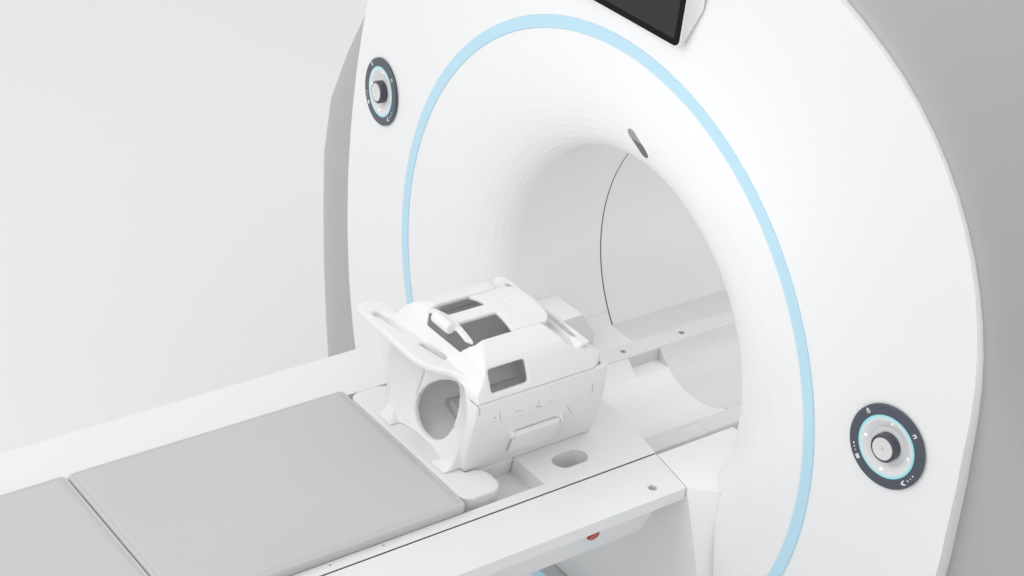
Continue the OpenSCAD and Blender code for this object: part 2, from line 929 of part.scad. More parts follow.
module magnet_vessel() {
  e = 60;
  color("lightsteelblue")
    difference() {
      turn_y()
        polygon([[warm_bore_r, -vessel_y + 20], [warm_bore_r + 20, -vessel_y],
          [vessel_r - e, -vessel_y], [vessel_r, -vessel_y + e],
          [vessel_r, vessel_y - e], [vessel_r - e, vessel_y],
          [warm_bore_r + 20, vessel_y], [warm_bore_r, vessel_y - 20]]);
      turn_y()
        polygon([[warm_bore_r + vessel_t, -vessel_y + e], [vessel_r - e, -vessel_y + vessel_t],
          [vessel_r - vessel_t, -vessel_y + e], [vessel_r - vessel_t, vessel_y - e],
          [vessel_r - e, vessel_y - vessel_t], [warm_bore_r + vessel_t, vessel_y - e]]);
    }
}

former_in = warm_bore_r + vessel_t + 0.05;
winding_d = 24;
winding_l = 80;
winding_y = [90, 300, 520];

// Grooved former for the windings, inside the vessel
module winding_former() {
  color("silver")
    difference() {
      tube_y(former_r, former_in, -vessel_y + 72, vessel_y - 72);
      for (s = [-1, 1], y = winding_y)
        tube_y(former_r + 10, former_r - winding_d, s * (y - winding_l / 2) - winding_l / 2,
          s * (y - winding_l / 2) + winding_l / 2);
    }
}

// Superconducting windings, wound into the grooves of the former
module windings() {
  color("peru")
    for (s = [-1, 1], y = winding_y)
      tube_y(former_r, former_r - winding_d + 0.05, s * (y - winding_l / 2) - winding_l / 2 + 0.3,
        s * (y - winding_l / 2) + winding_l / 2 - 0.3);
}

module gradient_coil() {
  color("tan")
    tube_y(gradient_out, gradient_in, -gradient_len / 2, gradient_len / 2);
}

module body_coil() {
  color("burlywood")
    tube_y(gradient_in - 0.3, bore_r + side_t + 0.3, -body_coil_len / 2, body_coil_len / 2);
}

cold_a = 40;

module cold_head() {
  color("silver")
    translate([0, 250, iso_h])
      rotate([0, 90 - cold_a - 10, 0])
        difference() {
          union() {
            cylinder(r = 70, h = vessel_r + 45, $fn = 64);
            translate([0, 0, vessel_r + 45])
              cylinder(r = 45, h = 50, $fn = 64);
          }
          rotate([0, -90 + cold_a + 10, 0])
            rotate([90, 0, 0])
              cylinder(r = vessel_r + 0.3, h = 600, center = true, $fn = seg);
        }
}

module magnet_feet() {
  foot_h = iso_h - sqrt(pow(vessel_r, 2) - pow(foot_x / 2 + foot_w / 2, 2)) + 5;
  color("gray")
    for (x = [-1, 1], y = [-1, 1])
      difference() {
        translate([x * foot_x / 2, y * foot_y / 2, 0]) {
          translate([-foot_w / 2, -foot_w / 2, 0])
            cube([foot_w, foot_w, foot_h]);
          translate([-foot_w / 2, -foot_w / 2 - 60, 0])
            cube([foot_w, foot_w + 120, foot_flange]);
        }
        rod_y(vessel_r + 0.3, -vessel_len, vessel_len);
        translate([x * foot_x / 2, y * (foot_y / 2 + foot_w / 2 + 30), -1])
          cylinder(r = anchor_r, h = foot_flange + 2, $fn = 48);
      }
}

// Frame that carries the front covers and the lit ring, on arms from the vessel
module cover_frame() {
  r = 640;
  tube_y(r + 26, ring_in + 2, front_y + 96, front_y + 116);
  tube_y(ring_out - 8, ring_in + 2, front_y + cover_t, front_y + 100);
  for (a = [35, 145, 215, 325])
    translate([0, 0, iso_h])
      rotate([0, -a, 0])
        translate([r + 6, 0, 0])
          rotate([90, 0, 0]) {
            translate([0, 0, vessel_y + 0.05])
              cylinder(r = 16, h = -front_y - vessel_y - 100, $fn = 48);
            translate([0, 0, -front_y - 110])
              cylinder(r = 9, h = 110 - dome(r) - cover_t - cover_gap - 1, $fn = 48);
          }
}

module front_frame() {
  color("darkgray")
    cover_frame();
}

module rear_frame() {
  color("darkgray")
    mirror([0, 1, 0])
      cover_frame();
}

// Patient table

// Runs a front-view outline along the table
module along_table(y0, y1) {
  prism_y(table_y - y0, table_y - y1)
    children();
}

shelf_in = top_x + top_gap;
floor_z = top_z + top_t + 0.3;
body_low_y = 81;
body_bow_r = 1600;
body_bow_y = table_y - sqrt(pow(body_bow_r, 2) - pow(top_x, 2));
dock_front = body_bow_y + sqrt(pow(body_bow_r + dock_gap, 2) - pow(shelf_x, 2));
end_r = (pow(top_x, 2) + pow(top_bulge, 2)) / (2 * top_bulge);
socket_x = shelf_x - 32;
socket_y = 72;
button_r = 13;
button_y = 219;
button_h = 5;
button_travel = 4;
motor_r = 40;

// Front view of the table's body, shrunk by t
function table_section(t) =
  [[-shelf_x + t, -top_z - 2 - t], [-shelf_x + t, -top_z - shelf_t],
   [-shelf_x + 8 + t, -top_z - shelf_t - 1], [-table_low_x + t, -table_low + t],
   [table_low_x - t, -table_low + t], [shelf_x - 8 - t, -top_z - shelf_t - 1],
   [shelf_x - t, -top_z - shelf_t], [shelf_x - t, -top_z - 2 - t]];

module top_slot(y0, y1) {
  along_table(y0, y1)
    polygon([[-shelf_in, 10], [-shelf_in, -floor_z], [shelf_in, -floor_z], [shelf_in, 10]]);
}

module table_body() {
  t = 6;
  color("white")
    difference() {
      intersection() {
        along_table(table_len - 60, -40)
          polygon(table_section(0));
        translate([0, body_bow_y, 0])
          cylinder(r = body_bow_r, h = 2 * iso_h, $fn = seg);
      }
      // slot for the tabletop, with a deeper run for the rack
      top_slot(table_len + 1, -50);
      along_table(table_len - 100, -50)
        translate([-60, -floor_z - 29.5])
          square([120, 30]);
      // hollow side boxes
      for (s = [-1, 1])
        along_table(table_len - 80, body_low_y + t)
          polygon([[s * (shelf_in + t), -top_z - 2 - t], [s * (shelf_in + t), -table_low + 10],
            [s * (table_low_x - t), -table_low + 10],
            [s * (shelf_x - 8 - t), -top_z - shelf_t - 1],
            [s * (shelf_x - t), -top_z - shelf_t],
            [s * (shelf_x - t), -top_z - 2 - t]]);
      // the lower part stops short of the dock
      translate([-500, table_y - body_low_y, 0])
        cube([1000, 500, iso_h - top_z - shelf_t - 1]);
      for (s = [-1, 1]) {
        button_place(s)
          translate([0, 0, -30])
            cylinder(r = button_r + 0.3, h = 60, $fn = 64);
        translate([s * socket_x, table_y - socket_y, iso_h - top_z - 2]) {
          translate([0, 0, -socket_d])
            cylinder(r = socket_r, h = socket_d + 5, $fn = 48);
          translate([0, 0, -2])
            cylinder(r1 = socket_r, r2 = socket_r + 4, h = 2.01, $fn = 48);
        }
      }
      // room for the pinion and the motor
      translate([-rack_w / 2 - 5, table_y - pinion_y - 60, iso_h - table_low - 1])
        cube([rack_w + 10, 120, 40]);
      translate([40, table_y - pinion_y - motor_r - 6, iso_h - table_low - 1])
        cube([140, 2 * motor_r + 12, table_low - pinion_z + motor_r + 6]);
    }
}

// Slope of the table's flank below a shelf
flank_a = atan2(shelf_x - 8 - table_low_x, table_low - top_z - shelf_t - 1);

module button_place(s) {
  drop = button_r + 1.5;
  z = top_z + shelf_t + 1 + drop;
  x = shelf_x - 8 - drop * tan(flank_a);
  translate([s * x, table_y - button_y, iso_h - z])
    rotate([0, s * (90 + flank_a), 0])
      children();
}

module stop_button(s) {
  color("red")
    button_place(s)
      difference() {
        union() {
          translate([0, 0, -20])
            cylinder(r = button_r, h = 20 + button_h - 3, $fn = 64);
          translate([0, 0, button_h - 3])
            cylinder(r1 = button_r, r2 = button_r - 3, h = 3, $fn = 64);
        }
        translate([0, 0, button_h - 1])
          cylinder(r1 = button_r - 9, r2 = button_r - 5, h = 1.01, $fn = 64);
      }
}

module stop_button_left() { stop_button(-1); }
module stop_button_right() { stop_button(1); }

module table_foot_cap() {
  color("white")
    difference() {
      along_table(table_len, table_len - 60)
        polygon(table_section(0));
      for (s = [-1, 1])
        translate([s * shelf_x, table_y - table_len, iso_h - 500])
          rotate([0, 0, 45])
            cube([70, 70, 1400], center = true);
      top_slot(table_len - 40, table_len - 61);
    }
}

// Tabletop: a shallow tray with a hand-hold slab at its head end

hold_x = 165;
hold_y = 153;
tray_drop = 36;
tray_y0 = 242;
tray_y1 = 412;

module tabletop() {
  low = -top_z - top_t;
  color("white")
    difference() {
      intersection() {
        along_table(table_len - 42, -top_bulge - 5)
          polygon([[-top_x, -top_z], [-top_x, -top_z - 22], [-rail_x - 12, low],
            [rail_x + 12, low], [top_x, -top_z - 22], [top_x, -top_z]]);
        union() {
          translate([0, table_y + top_bulge - end_r, 0])
            cylinder(r = end_r, h = 2 * iso_h, $fn = seg);
          translate([-500, table_y - table_len - 100, 0])
            cube([1000, table_len, 2 * iso_h]);
        }
      }
      // recess for the mattress
      along_table(table_len - 60, tray_y1)
        translate([-top_x + rim_w, -top_z - top_rim])
          square([2 * (top_x - rim_w), top_rim + 1]);
      // deeper tray under the coil
      along_table(tray_y1 + 1, tray_y0)
        translate([-top_x + rim_w, -top_z - tray_drop])
          square([2 * (top_x - rim_w), tray_drop + 1]);
      // hand holds
      for (s = [-1, 1])
        translate([s * hold_x, table_y - hold_y, iso_h + low - 5])
          rotate([0, 0, 90])
            linear_extrude(height = top_t + 10)
              oval(74, 42);
    }
}

// Drive: a rack under the tabletop and a pinion in the table's body

pinion_r = gear_m * pinion_n / 2;
rack_teeth = floor((slide_travel + 110) / (PI * gear_m));
rack_len = rack_teeth * PI * gear_m;
rack_back = 10;
rack_top = top_z + top_t;
pitch_z = rack_top + rack_back + gear_m;
pinion_z = pitch_z + pinion_r;
pinion_y = 468;
teeth_ahead = 2;
backlash = 0.25;

module pinion_place() {
  translate([0, table_y - pinion_y, iso_h - pinion_z])
    rotate([0, 90, 0])
      children();
}

module drive_rack() {
  p = PI * gear_m;
  root = -rack_top - rack_back;
  tip = root - 2 * gear_m;
  n0 = teeth_ahead;
  y0 = table_y - pinion_y;
  color("dimgray")
    prism_x(-rack_w / 2, rack_w / 2)
      polygon(concat([[y0 - (rack_teeth - n0 - 0.5) * p, -rack_top]],
        [for (i = [n0 + 1 - rack_teeth:n0]) each
          [[y0 + (i - 0.36) * p, root], [y0 + (i - 0.13) * p, tip],
           [y0 + (i + 0.13) * p, tip], [y0 + (i + 0.36) * p, root]]],
        [[y0 + (n0 + 0.5) * p, -rack_top]]));
}

function involute(rb, a) = [rb * (cos(a) + a * PI / 180 * sin(a)), rb * (sin(a) - a * PI / 180 * cos(a))];

module drive_pinion() {
  rb = pinion_r * cos(20);
  ra = pinion_r + gear_m * 0.9;
  rf = pinion_r - gear_m * 1.2;
  half = 90 / pinion_n - backlash;
  inv_a = (tan(20) - 20 * PI / 180) * 180 / PI;
  amax = sqrt(pow(ra / rb, 2) - 1) * 180 / PI;
  color("silver")
    pinion_place() {
      linear_extrude(height = rack_w + 2, center = true)
        difference() {
          union() {
            circle(r = rf, $fn = 96);
            for (i = [0:pinion_n - 1])
              rotate([0, 0, 180 + (i + 0.5) * 360 / pinion_n])
                polygon(concat([[0, 0]],
                  [for (k = [0:5]) let (q = involute(rb, amax * k / 5),
                      t = half + inv_a)
                    [q[0] * cos(-t) - q[1] * sin(-t), q[0] * sin(-t) + q[1] * cos(-t)]],
                  [for (k = [5:-1:0]) let (q = involute(rb, amax * k / 5),
                      t = half + inv_a)
                    [q[0] * cos(t) + q[1] * sin(t), q[0] * sin(t) - q[1] * cos(t)]]));
          }
          circle(r = shaft_r - 1, $fn = 48);
        }
      difference() {
        cylinder(r = shaft_r, h = 120, center = true, $fn = 64);
        cylinder(r = shaft_r - 4, h = 130, center = true, $fn = 48);
      }
    }
}

// Gear motor beside the pinion, with a bearing block on each side
module drive_motor() {
  y = table_y - pinion_y;
  low = pinion_z + 22;
  color("dimgray")
    difference() {
      union() {
        for (x = [-rack_w / 2 - 26, rack_w / 2 + 6])
          translate([x, y - 30, iso_h - low])
            cube([20, 60, low - table_low]);
        translate([rack_w / 2 + 20, y, iso_h - pinion_z])
          rotate([0, 90, 0])
            cylinder(r = 13, h = 20, $fn = 48);
        translate([rack_w / 2 + 32, y, iso_h - pinion_z])
          rotate([0, 90, 0])
            cylinder(r = motor_r, h = 120, $fn = 96);
      }
      translate([-80, y, iso_h - pinion_z])
        rotate([0, 90, 0])
          cylinder(r = shaft_r + 0.08, h = 142, $fn = 64);
    }
}

// Mattress pads

mattress_w = 2 * (top_x - rim_w) - 1;
mattress_t = 25;
pad_split = 973;

module pad(y0, y1) {
  z = -top_z - top_rim;
  half = [[mattress_w / 2, z + 0.3], [mattress_w / 2, z + mattress_t - 9],
    [mattress_w / 2 - 8, z + mattress_t]];
  along_table(y1, y0)
    polygon(concat(half, mirrored(half)));
}

module mattress_head() {
  color("lightgray")
    pad(tray_y1 + 1, pad_split - 1);
}

module mattress_foot() {
  color("lightgray")
    pad(pad_split + 1, table_len - 62);
}

// Pedestal and lift

ped_y1 = table_y - pedestal_y;
ped_y0 = ped_y1 - pedestal_len;
body_bottom = iso_h - table_low;

module box_ring(w, y0, y1, z0, z1, t, r) {
  translate([0, (y0 + y1) / 2, z0])
    linear_extrude(height = z1 - z0)
      difference() {
        round_rect(w, y1 - y0, r);
        round_rect(w - 2 * t, y1 - y0 - 2 * t, r - t);
      }
}

lower_top = body_bottom - lift_travel - 5;
skirt_gap = 3;
upper_low = plate_t + lift_travel + 5;

module table_plate() {
  color("gray")
    difference() {
      translate([0, (ped_y0 + ped_y1) / 2, 0])
        linear_extrude(height = plate_t)
          round_rect(pedestal_w + 40, pedestal_len + 40, 40);
      for (x = [-1, 1], y = [ped_y0 + 60, ped_y1 - 60])
        translate([x * (pedestal_w / 2 - 50), y, -1])
          cylinder(r = 7, h = plate_t + 2, $fn = 32);
    }
}

// Low duct on the floor for the cables and hoses between table and magnet
module floor_duct() {
  y0 = ped_y1 + 20;
  y1 = front_y + rim_y - 2;
  color("lightgray")
    prism_x(-duct_w / 2, duct_w / 2)
      polygon([[y0, -iso_h], [y0, -iso_h + plate_t], [y0 + 20, -iso_h + cover_lift],
        [y1, -iso_h + cover_lift], [y1, -iso_h]]);
}

module lower_skirt() {
  color("white")
    box_ring(pedestal_w, ped_y0, ped_y1, plate_t, lower_top, skirt_t, 40);
}

module upper_skirt() {
  d = skirt_t + skirt_gap;
  color("whitesmoke")
    box_ring(pedestal_w - 2 * d, ped_y0 + d, ped_y1 - d, upper_low, body_bottom, skirt_t, 40 - d);
}

module each_lift() {
  for (y = [ped_y0 + 300, ped_y1 - 300])
    translate([0, y, 0])
      children();
}

ram_low = plate_t + 30 + lift_travel;

module lift_cylinders() {
  color("dimgray")
    each_lift()
      difference() {
        translate([0, 0, plate_t])
          cylinder(r = lift_r, h = lower_top - plate_t - 2, $fn = 96);
        translate([0, 0, plate_t + 10])
          cylinder(r = ram_r + ram_fit, h = iso_h, $fn = 96);
      }
}

module lift_rams() {
  color("silver")
    each_lift()
      difference() {
        translate([0, 0, ram_low - 20])
          cylinder(r = ram_r, h = body_bottom - ram_low + 20, $fn = 96);
        translate([0, 0, ram_low - 30])
          cylinder(r = ram_r - 8, h = body_bottom - ram_low, $fn = 64);
      }
}

// Head and neck coil

coil_y1 = table_y - coil_y;
coil_y0 = coil_y1 + coil_len;
coil_foot = top_z;

// Front view of the lower half: straight sides that narrow to the foot
function lower_side(t) =
  [[coil_low_x - t, -coil_foot + t], [122 - t, -100], [137 - t, -50], [coil_x - 2 - t, 0],
   [coil_x - t, seam_z]];

// Front view of the hood
function hood_side(t) =
  [[coil_x - t, seam_z], [coil_x - 5 - t, seam_z + 12], [coil_x - 13 - t, seam_z + 30],
   [coil_x - 23 - t, seam_z + 49], [coil_x - 34 - t, seam_z + 60 - t * 0.5],
   [coil_x - 50 - t * 0.7, crown_z - 12 - t * 0.9], [face_x + 8 - t * 0.4, crown_z - 5 - t],
   [face_x / 2, crown_z - 1 - t], [0, crown_z - t]];

// Side view of the hood, from the handle bar over the crown to the rear deck
function hood_top(t) =
  let (y1 = coil_y1, y0 = coil_y0)
  [[y1 - 10 + t, 0], [y1 - 10 + t, seam_z], [y1 - 8 + t, seam_z + 16],
   [y1 + 6 + t, seam_z + 32 - t * 0.3], [y1 + 12 + t, seam_z + 42 - t * 0.5],
   [y1 + 18 + t, seam_z + 54 - t * 0.6], [y1 + 28 + t, crown_z - 14 - t * 0.8],
   [y1 + 45 + t, crown_z - 5 - t], [y1 + 70 + t, crown_z - 1 - t], [y1 + 90, crown_z - t],
   [y0 - 128, crown_z - t], [y0 - 104 - t * 0.2, crown_z - 6 - t],
   [y0 - 89 - t * 0.4, crown_z - 18 - t * 0.9], [y0 - 79 - t * 0.5, crown_z - 30 - t * 0.9],
   [y0 - 67 - t * 0.6, seam_z + 42 - t * 0.9], [y0 - 29 - t * 0.8, seam_z + 36 - t],
   [y0 - 15 - t, seam_z + 24 - t * 0.8], [y0 - t, seam_z], [y0 - t, 0]];

// Plan of the coil, with round corners at the crown of the head
module coil_plan(t, r) {
  translate([-coil_x + t, coil_y1 + t - 60])
    square([2 * (coil_x - t), coil_len - 2 * t - r + 60]);
  translate([-coil_x + t + r, coil_y1 + t])
    square([2 * (coil_x - t - r), coil_len - 2 * t]);
  for (s = [-1, 1])
    translate([s * (coil_x - t - r), coil_y0 - t - r])
      circle(r = r, $fn = 64);
}

// Funnel round the neck. Its wall is the room between two of these.
funnel_y = 17;
funnel_r = 133;
funnel_d = 72;
tip_r = 15;

module funnel(back) {
  translate([0, coil_y1 - funnel_y + back, iso_h])
    rotate([-90, 0, 0])
      cylinder(r1 = funnel_r, r2 = tip_r, h = funnel_d, $fn = seg);
  translate([0, coil_y1 - funnel_y + back - 60, iso_h])
    rotate([-90, 0, 0])
      cylinder(r = funnel_r, h = 60.01, $fn = seg);
}

neck_z = -63;
apron_x = neck_x + 6;

// Oval opening for the neck
module neck_hole() {
  translate([0, coil_y1 - 40, iso_h + neck_z])
    rotate([-90, 0, 0])
      scale([neck_x / neck_h, 1, 1])
        cylinder(r = neck_h, h = 150, $fn = seg);
}

head_r = coil_x - coil_t - 14;

module coil_lower() {
  y1 = coil_y1;
  color("white")
    difference() {
      union() {
        intersection() {
          prism_y(y1 - 30, coil_y0 + 20)
            polygon(concat(lower_side(0), mirrored(lower_side(0))));
          prism_x(-200, 200)
            polygon([[y1 + 3, -coil_foot], [y1 - 7, -85], [y1 - 11, -50], [y1 - 13, 0],
              [y1 - 10, seam_z], [coil_y0, seam_z],
              [coil_y0 + 10, -coil_foot + 30], [coil_y0 + 8, -coil_foot]]);
          linear_extrude(height = 2 * iso_h)
            coil_plan(-10, 40);
        }
        // rounded foot towards the base
        prism_x(-coil_low_x + 4, coil_low_x - 4)
          polygon([[y1 + 12, -coil_foot + 13], [y1 - 42, -coil_foot + 13],
            [y1 - 33, -coil_foot + 16], [y1 - 25, -coil_foot + 22],
            [y1 - 18, -coil_foot + 33], [y1 - 13, -coil_foot + 48],
            [y1 - 11, -coil_foot + 68], [y1 + 12, -coil_foot + 68]]);
      }
      // room for the head, round below and open above
      difference() {
        prism_y(y1 - 5, coil_y0 - coil_t)
          polygon(concat([[coil_x - coil_t, seam_z + 5]], [[-coil_x + coil_t, seam_z + 5]],
            arc(0, 0, head_r, 180, 360, 32)));
        funnel(coil_t + 2);
      }
      funnel(0);
      // neck opening, open upwards where the hood's apron closes it
      neck_hole();
      translate([-apron_x, y1 - 40, iso_h + neck_z])
        cube([2 * apron_x, 135, 200]);
      // opening at the crown of the head
      prism_y(coil_y0 - coil_t - 5, coil_y0 + 15)
        crown_outline();
      // grooves that the latches' barrels turn in
      for (s = [-1, 1])
        translate([s * lever_x, lever_y, iso_h + lever_z])
          rotate([90, 0, 0])
            cylinder(r = barrel_r + 0.6, h = lever_l + 1, center = true, $fn = 48);
    }
  color("white")
    for (s = [0, 1], e = [-1, 1])
      mirror([s, 0, 0])
        lever_lug(lever_y + e * (lever_l / 2 + 5));
}

// Lug with a bore for a latch's pin
module lever_lug(y) {
  difference() {
    prism_y(y - 4.5, y + 4.5) {
      translate([lever_x, lever_z])
        circle(r = barrel_r + 0.5, $fn = 48);
      polygon([[lever_x - 12, lever_z + 9], [lever_x, lever_z + barrel_r],
        [lever_x, lever_z - barrel_r], [lever_x - 14, lever_z - 9]]);
    }
    prism_y(y - 10, y + 10)
      translate([lever_x, lever_z])
        circle(r = 3.58, $fn = 48);
  }
}

module crown_outline() {
  translate([0, -10])
    circle(r = 62, $fn = 96);
}

module coil_upper() {
  c = seam_z + cover_gap;
  bar_z = seam_z + 14;
  color("white")
    difference() {
      union() {
        intersection() {
          hood(0);
          translate([-300, coil_y1 - 100, iso_h + c])
            cube([600, coil_len + 200, 300]);
        }
        handle_bar(bar_z);
        rear_bar();
        // apron that closes the neck opening upwards
        intersection() {
          funnel(coil_t + 2);
          translate([-apron_x + cover_gap, coil_y1 - 30, iso_h + neck_z + cover_gap])
            cube([2 * (apron_x - cover_gap), 130, c - neck_z]);
        }
      }
      difference() {
        hood(coil_t);
        intersection() {
          funnel(coil_t + 2);
          translate([-300, coil_y1 - 100, iso_h - 200])
            cube([600, 300, 200 + bar_z + bar_t - 2]);
        }
      }
      intersection() {
        funnel(0);
        translate([-300, coil_y1 - 100, iso_h - 200])
          cube([600, 300, 200 + bar_z]);
      }
      neck_hole();
      // slot of the handle bar, through the hood's front wall
      translate([0, 0, iso_h + bar_z - 1])
        linear_extrude(height = bar_t + 2)
          slot([-30, coil_y1 - 4], [60, coil_y1 + 13], 6);
      // opening over the face
      translate([0, 0, iso_h + seam_z + 30])
        linear_extrude(height = 200)
          face_outline(0);
      // side windows
      for (s = [-1, 1])
        translate([s * coil_x, coil_y1 + 24 + window_w / 2, iso_h + seam_z + 31])
          rotate([0, 90, 0])
            linear_extrude(height = 90, center = true)
              round_rect(window_h, window_w, 4);
    }
}

// Plan of the opening over the face, shrunk by t
module face_outline(t) {
  x = face_x - t;
  y1 = coil_y1 + 18 + t;
  y0 = coil_y0 - 78 - t;
  polygon([[x, y1 + 16], [x, y0 - 12], [x - 12, y0], [-x + 12, y0], [-x, y0 - 12],
    [-x, y1 + 16], [-x + 16, y1], [x - 16, y1]]);
}

module hood(t) {
  intersection() {
    prism_y(coil_y1 - 30 + t, coil_y0 - t)
      polygon(concat([[coil_x - t, 0]], hood_side(t), mirrored(hood_side(t)), [[-coil_x + t, 0]]));
    prism_x(-200, 200)
      polygon(hood_top(t));
    linear_extrude(height = 2 * iso_h)
      coil_plan(t, 46);
  }
}

// Bar with two slots in front of the hood, one wing reaching out as a handle
module handle_bar(z) {
  y = coil_y1;
  translate([0, 0, iso_h + z])
    linear_extrude(height = bar_t)
      difference() {
        polygon([[-100, y + 42], [-109, y + 14], [-152, y + 22], [-178, y + 20],
          [-194, y + 12], [-204, y - 1], [-206, y - 16], [-201, y - 31], [-190, y - 41],
          [-175, y - 43], [-93, y - 44], [-26, y - 46], [0, y - 45], [18, y - 42],
          [33, y - 36], [48, y - 27], [66, y - 12], [90, y - 4], [118, y + 2],
          [132, y + 8], [135, y + 14], [100, y + 42]]);
        slot([-158, y - 20], [-90, y - 5], 8);
        slot([-30, y - 4], [60, y + 13], 6);
      }
}

// Bar across the hood behind the crown, on two posts
module rear_bar() {
  z = seam_z + 44;
  translate([0, 0, iso_h + z])
    linear_extrude(height = 7)
      difference() {
        translate([0, coil_y0 - 50])
          round_rect(2 * coil_x - 34, 28, 8);
        translate([0, coil_y0 - 50])
          round_rect(2 * coil_x - 90, 12, 5);
      }
  for (s = [-1, 1])
    translate([s * (coil_x - 35), coil_y0 - 50, iso_h + z - 16])
      cylinder(r = 8, h = 17, $fn = 48);
}

// Slot with round ends between two points
module slot(p, q, r) {
  d = q - p;
  translate(p)
    rotate([0, 0, atan2(d[1], d[0])]) {
      translate([0, -r])
        square([norm(d), 2 * r]);
      circle(r = r, $fn = 32);
      translate([norm(d), 0])
        circle(r = r, $fn = 32);
    }
}

// Base that joins the coil to the tray in the tabletop, with a lobe on either side
module coil_base() {
  z0 = -top_z - tray_drop;
  y0 = table_y - tray_y1 + 1;
  lobe_w = 70;
  x = coil_low_x + 7 + lobe_w;
  color("white") {
    prism_x(-x + 26, x - 26)
      polygon([[y0, z0], [y0, -top_z + 8], [y0 + 5, -top_z + 13],
        [coil_y1 - 0.2, -top_z + 13], [coil_y1 + 2.6, -top_z], [coil_y1 + 2.6, z0]]);
    for (s = [-1, 1])
      translate([s * (x - lobe_w / 2), y0 + 45, iso_h + z0])
        linear_extrude(height = tray_drop + 13)
          round_rect(lobe_w, 90, 26);
    prism_y(coil_y1 + 2, table_y - tray_y0 - 1)
      polygon([[-coil_low_x, -top_z], [-coil_low_x + 6, z0], [coil_low_x - 6, z0],
        [coil_low_x, -top_z]]);
  }
}

// Bridge over the face: a plate, an arm and a bar, with a roller at its patient end
module mirror_bridge() {
  y1 = coil_y1 + 18;
  plate_y = coil_y1 + 118;
  roller_y = coil_y1 + 13;
  r = 180;
  top = crown_z + 7;
  w = face_x - cover_gap;
  color("white") {
    difference() {
      intersection() {
        prism_y(roller_y, coil_y0 - 70)
          polygon(concat(arc(0, top - r, r, 90 - 24, 90 + 24, 16),
            arc(0, top - r, r - 8, 90 + 24.6, 90 - 24.6, 16)));
        translate([0, 0, iso_h])
          linear_extrude(height = 300) {
            translate([-bridge_w / 2, roller_y])
              square([bridge_w, plate_y - roller_y + 1]);
            intersection() {
              face_outline(cover_gap);
              union() {
                translate([-w, plate_y])
                  square([2 * w, 100]);
                translate([-w, y1 + 4])
                  square([2 * w, 12]);
              }
            }
          }
      }
      translate([0, 0, iso_h + top - 1.5])
        linear_extrude(height = 10)
          slot([-14, plate_y + 34], [24, plate_y + 38], 3);
    }
    translate([0, roller_y, iso_h + top - 3])
      rotate([0, 90, 0])
        cylinder(r = 11, h = 50, center = true, $fn = 64);
  }
}

// Side latch: a flap on a pin, carried by two lugs of the lower half
lever_x = coil_x - 10.5;
lever_z = -54;
lever_y = coil_y1 + 138;
lever_l = 100;
barrel_r = 6;

module coil_lever(s) {
  color("white")
    translate([0, lever_y, iso_h])
      mirror([s < 0 ? 1 : 0, 0, 0])
        rotate([90, 0, 0]) {
          linear_extrude(height = lever_l, center = true)
            union() {
              translate([lever_x, lever_z])
                circle(r = barrel_r, $fn = 48);
              polygon([[lever_x + barrel_r - 0.4, lever_z - 2],
                [lever_x - 7, lever_z - 44], [lever_x - 9, lever_z - 46],
                [lever_x - 15.2, lever_z - 46], [lever_x - 4.2, lever_z - 5]]);
            }
          translate([lever_x, lever_z, 0])
            cylinder(r = 3.5, h = lever_l + 20, center = true, $fn = 32);
        }
}

module coil_lever_left() { coil_lever(-1); }
module coil_lever_right() { coil_lever(1); }

// Soft pad under the head
module head_pad() {
  color("lightgray")
    prism_y(coil_y1 + 85, coil_y0 - coil_t - 25)
      polygon(concat(arc(0, 0, head_r - 0.1, 235, 305, 12),
        arc(0, 0, head_r - 22, 300, 240, 10)));
}

front_cover();
front_flare();
light_ring();
side_cover_left();
side_cover_right();
rear_cover();
rear_flare();
dock_cover();
bore_liner();
bore_bridge();
bore_rail_left();
bore_rail_right();
rail_screws();
rail_latch();
sensor_window();
display_housing();
display_bezel();
display_glass();
panel_ring_left();
panel_ring_right();
panel_glow_left();
panel_glow_right();
panel_dish_left();
panel_dish_right();
knob_left();
knob_right();
knob_cap_left();
knob_cap_right();
magnet_vessel();
winding_former();
windings();
gradient_coil();
body_coil();
cold_head();
magnet_feet();
front_frame();
rear_frame();
floor_duct();
table_plate();
lower_skirt();
upper_skirt();
lift_cylinders();
lift_rams();
table_body();
table_foot_cap();
stop_button_left();
stop_button_right();
drive_pinion();
drive_motor();
tabletop();
drive_rack();
mattress_head();
mattress_foot();
coil_base();
coil_lower();
coil_upper();
mirror_bridge();
coil_lever_left();
coil_lever_right();
head_pad();
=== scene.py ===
# %% [markdown]
# # An MRI scanner
#
# The machine is a thick ring with a patient table in front of it. The CAD
# model gives every hard part its true shape and place. This script adds what
# CAD leaves plain: soft pads, rounded mouldings, finishes, light and camera.
# Everything is in metres, with the origin on the floor under the isocentre.

# %% Load the frame
import json
import math
import bmesh
import bpy
from mathutils import Matrix, Vector


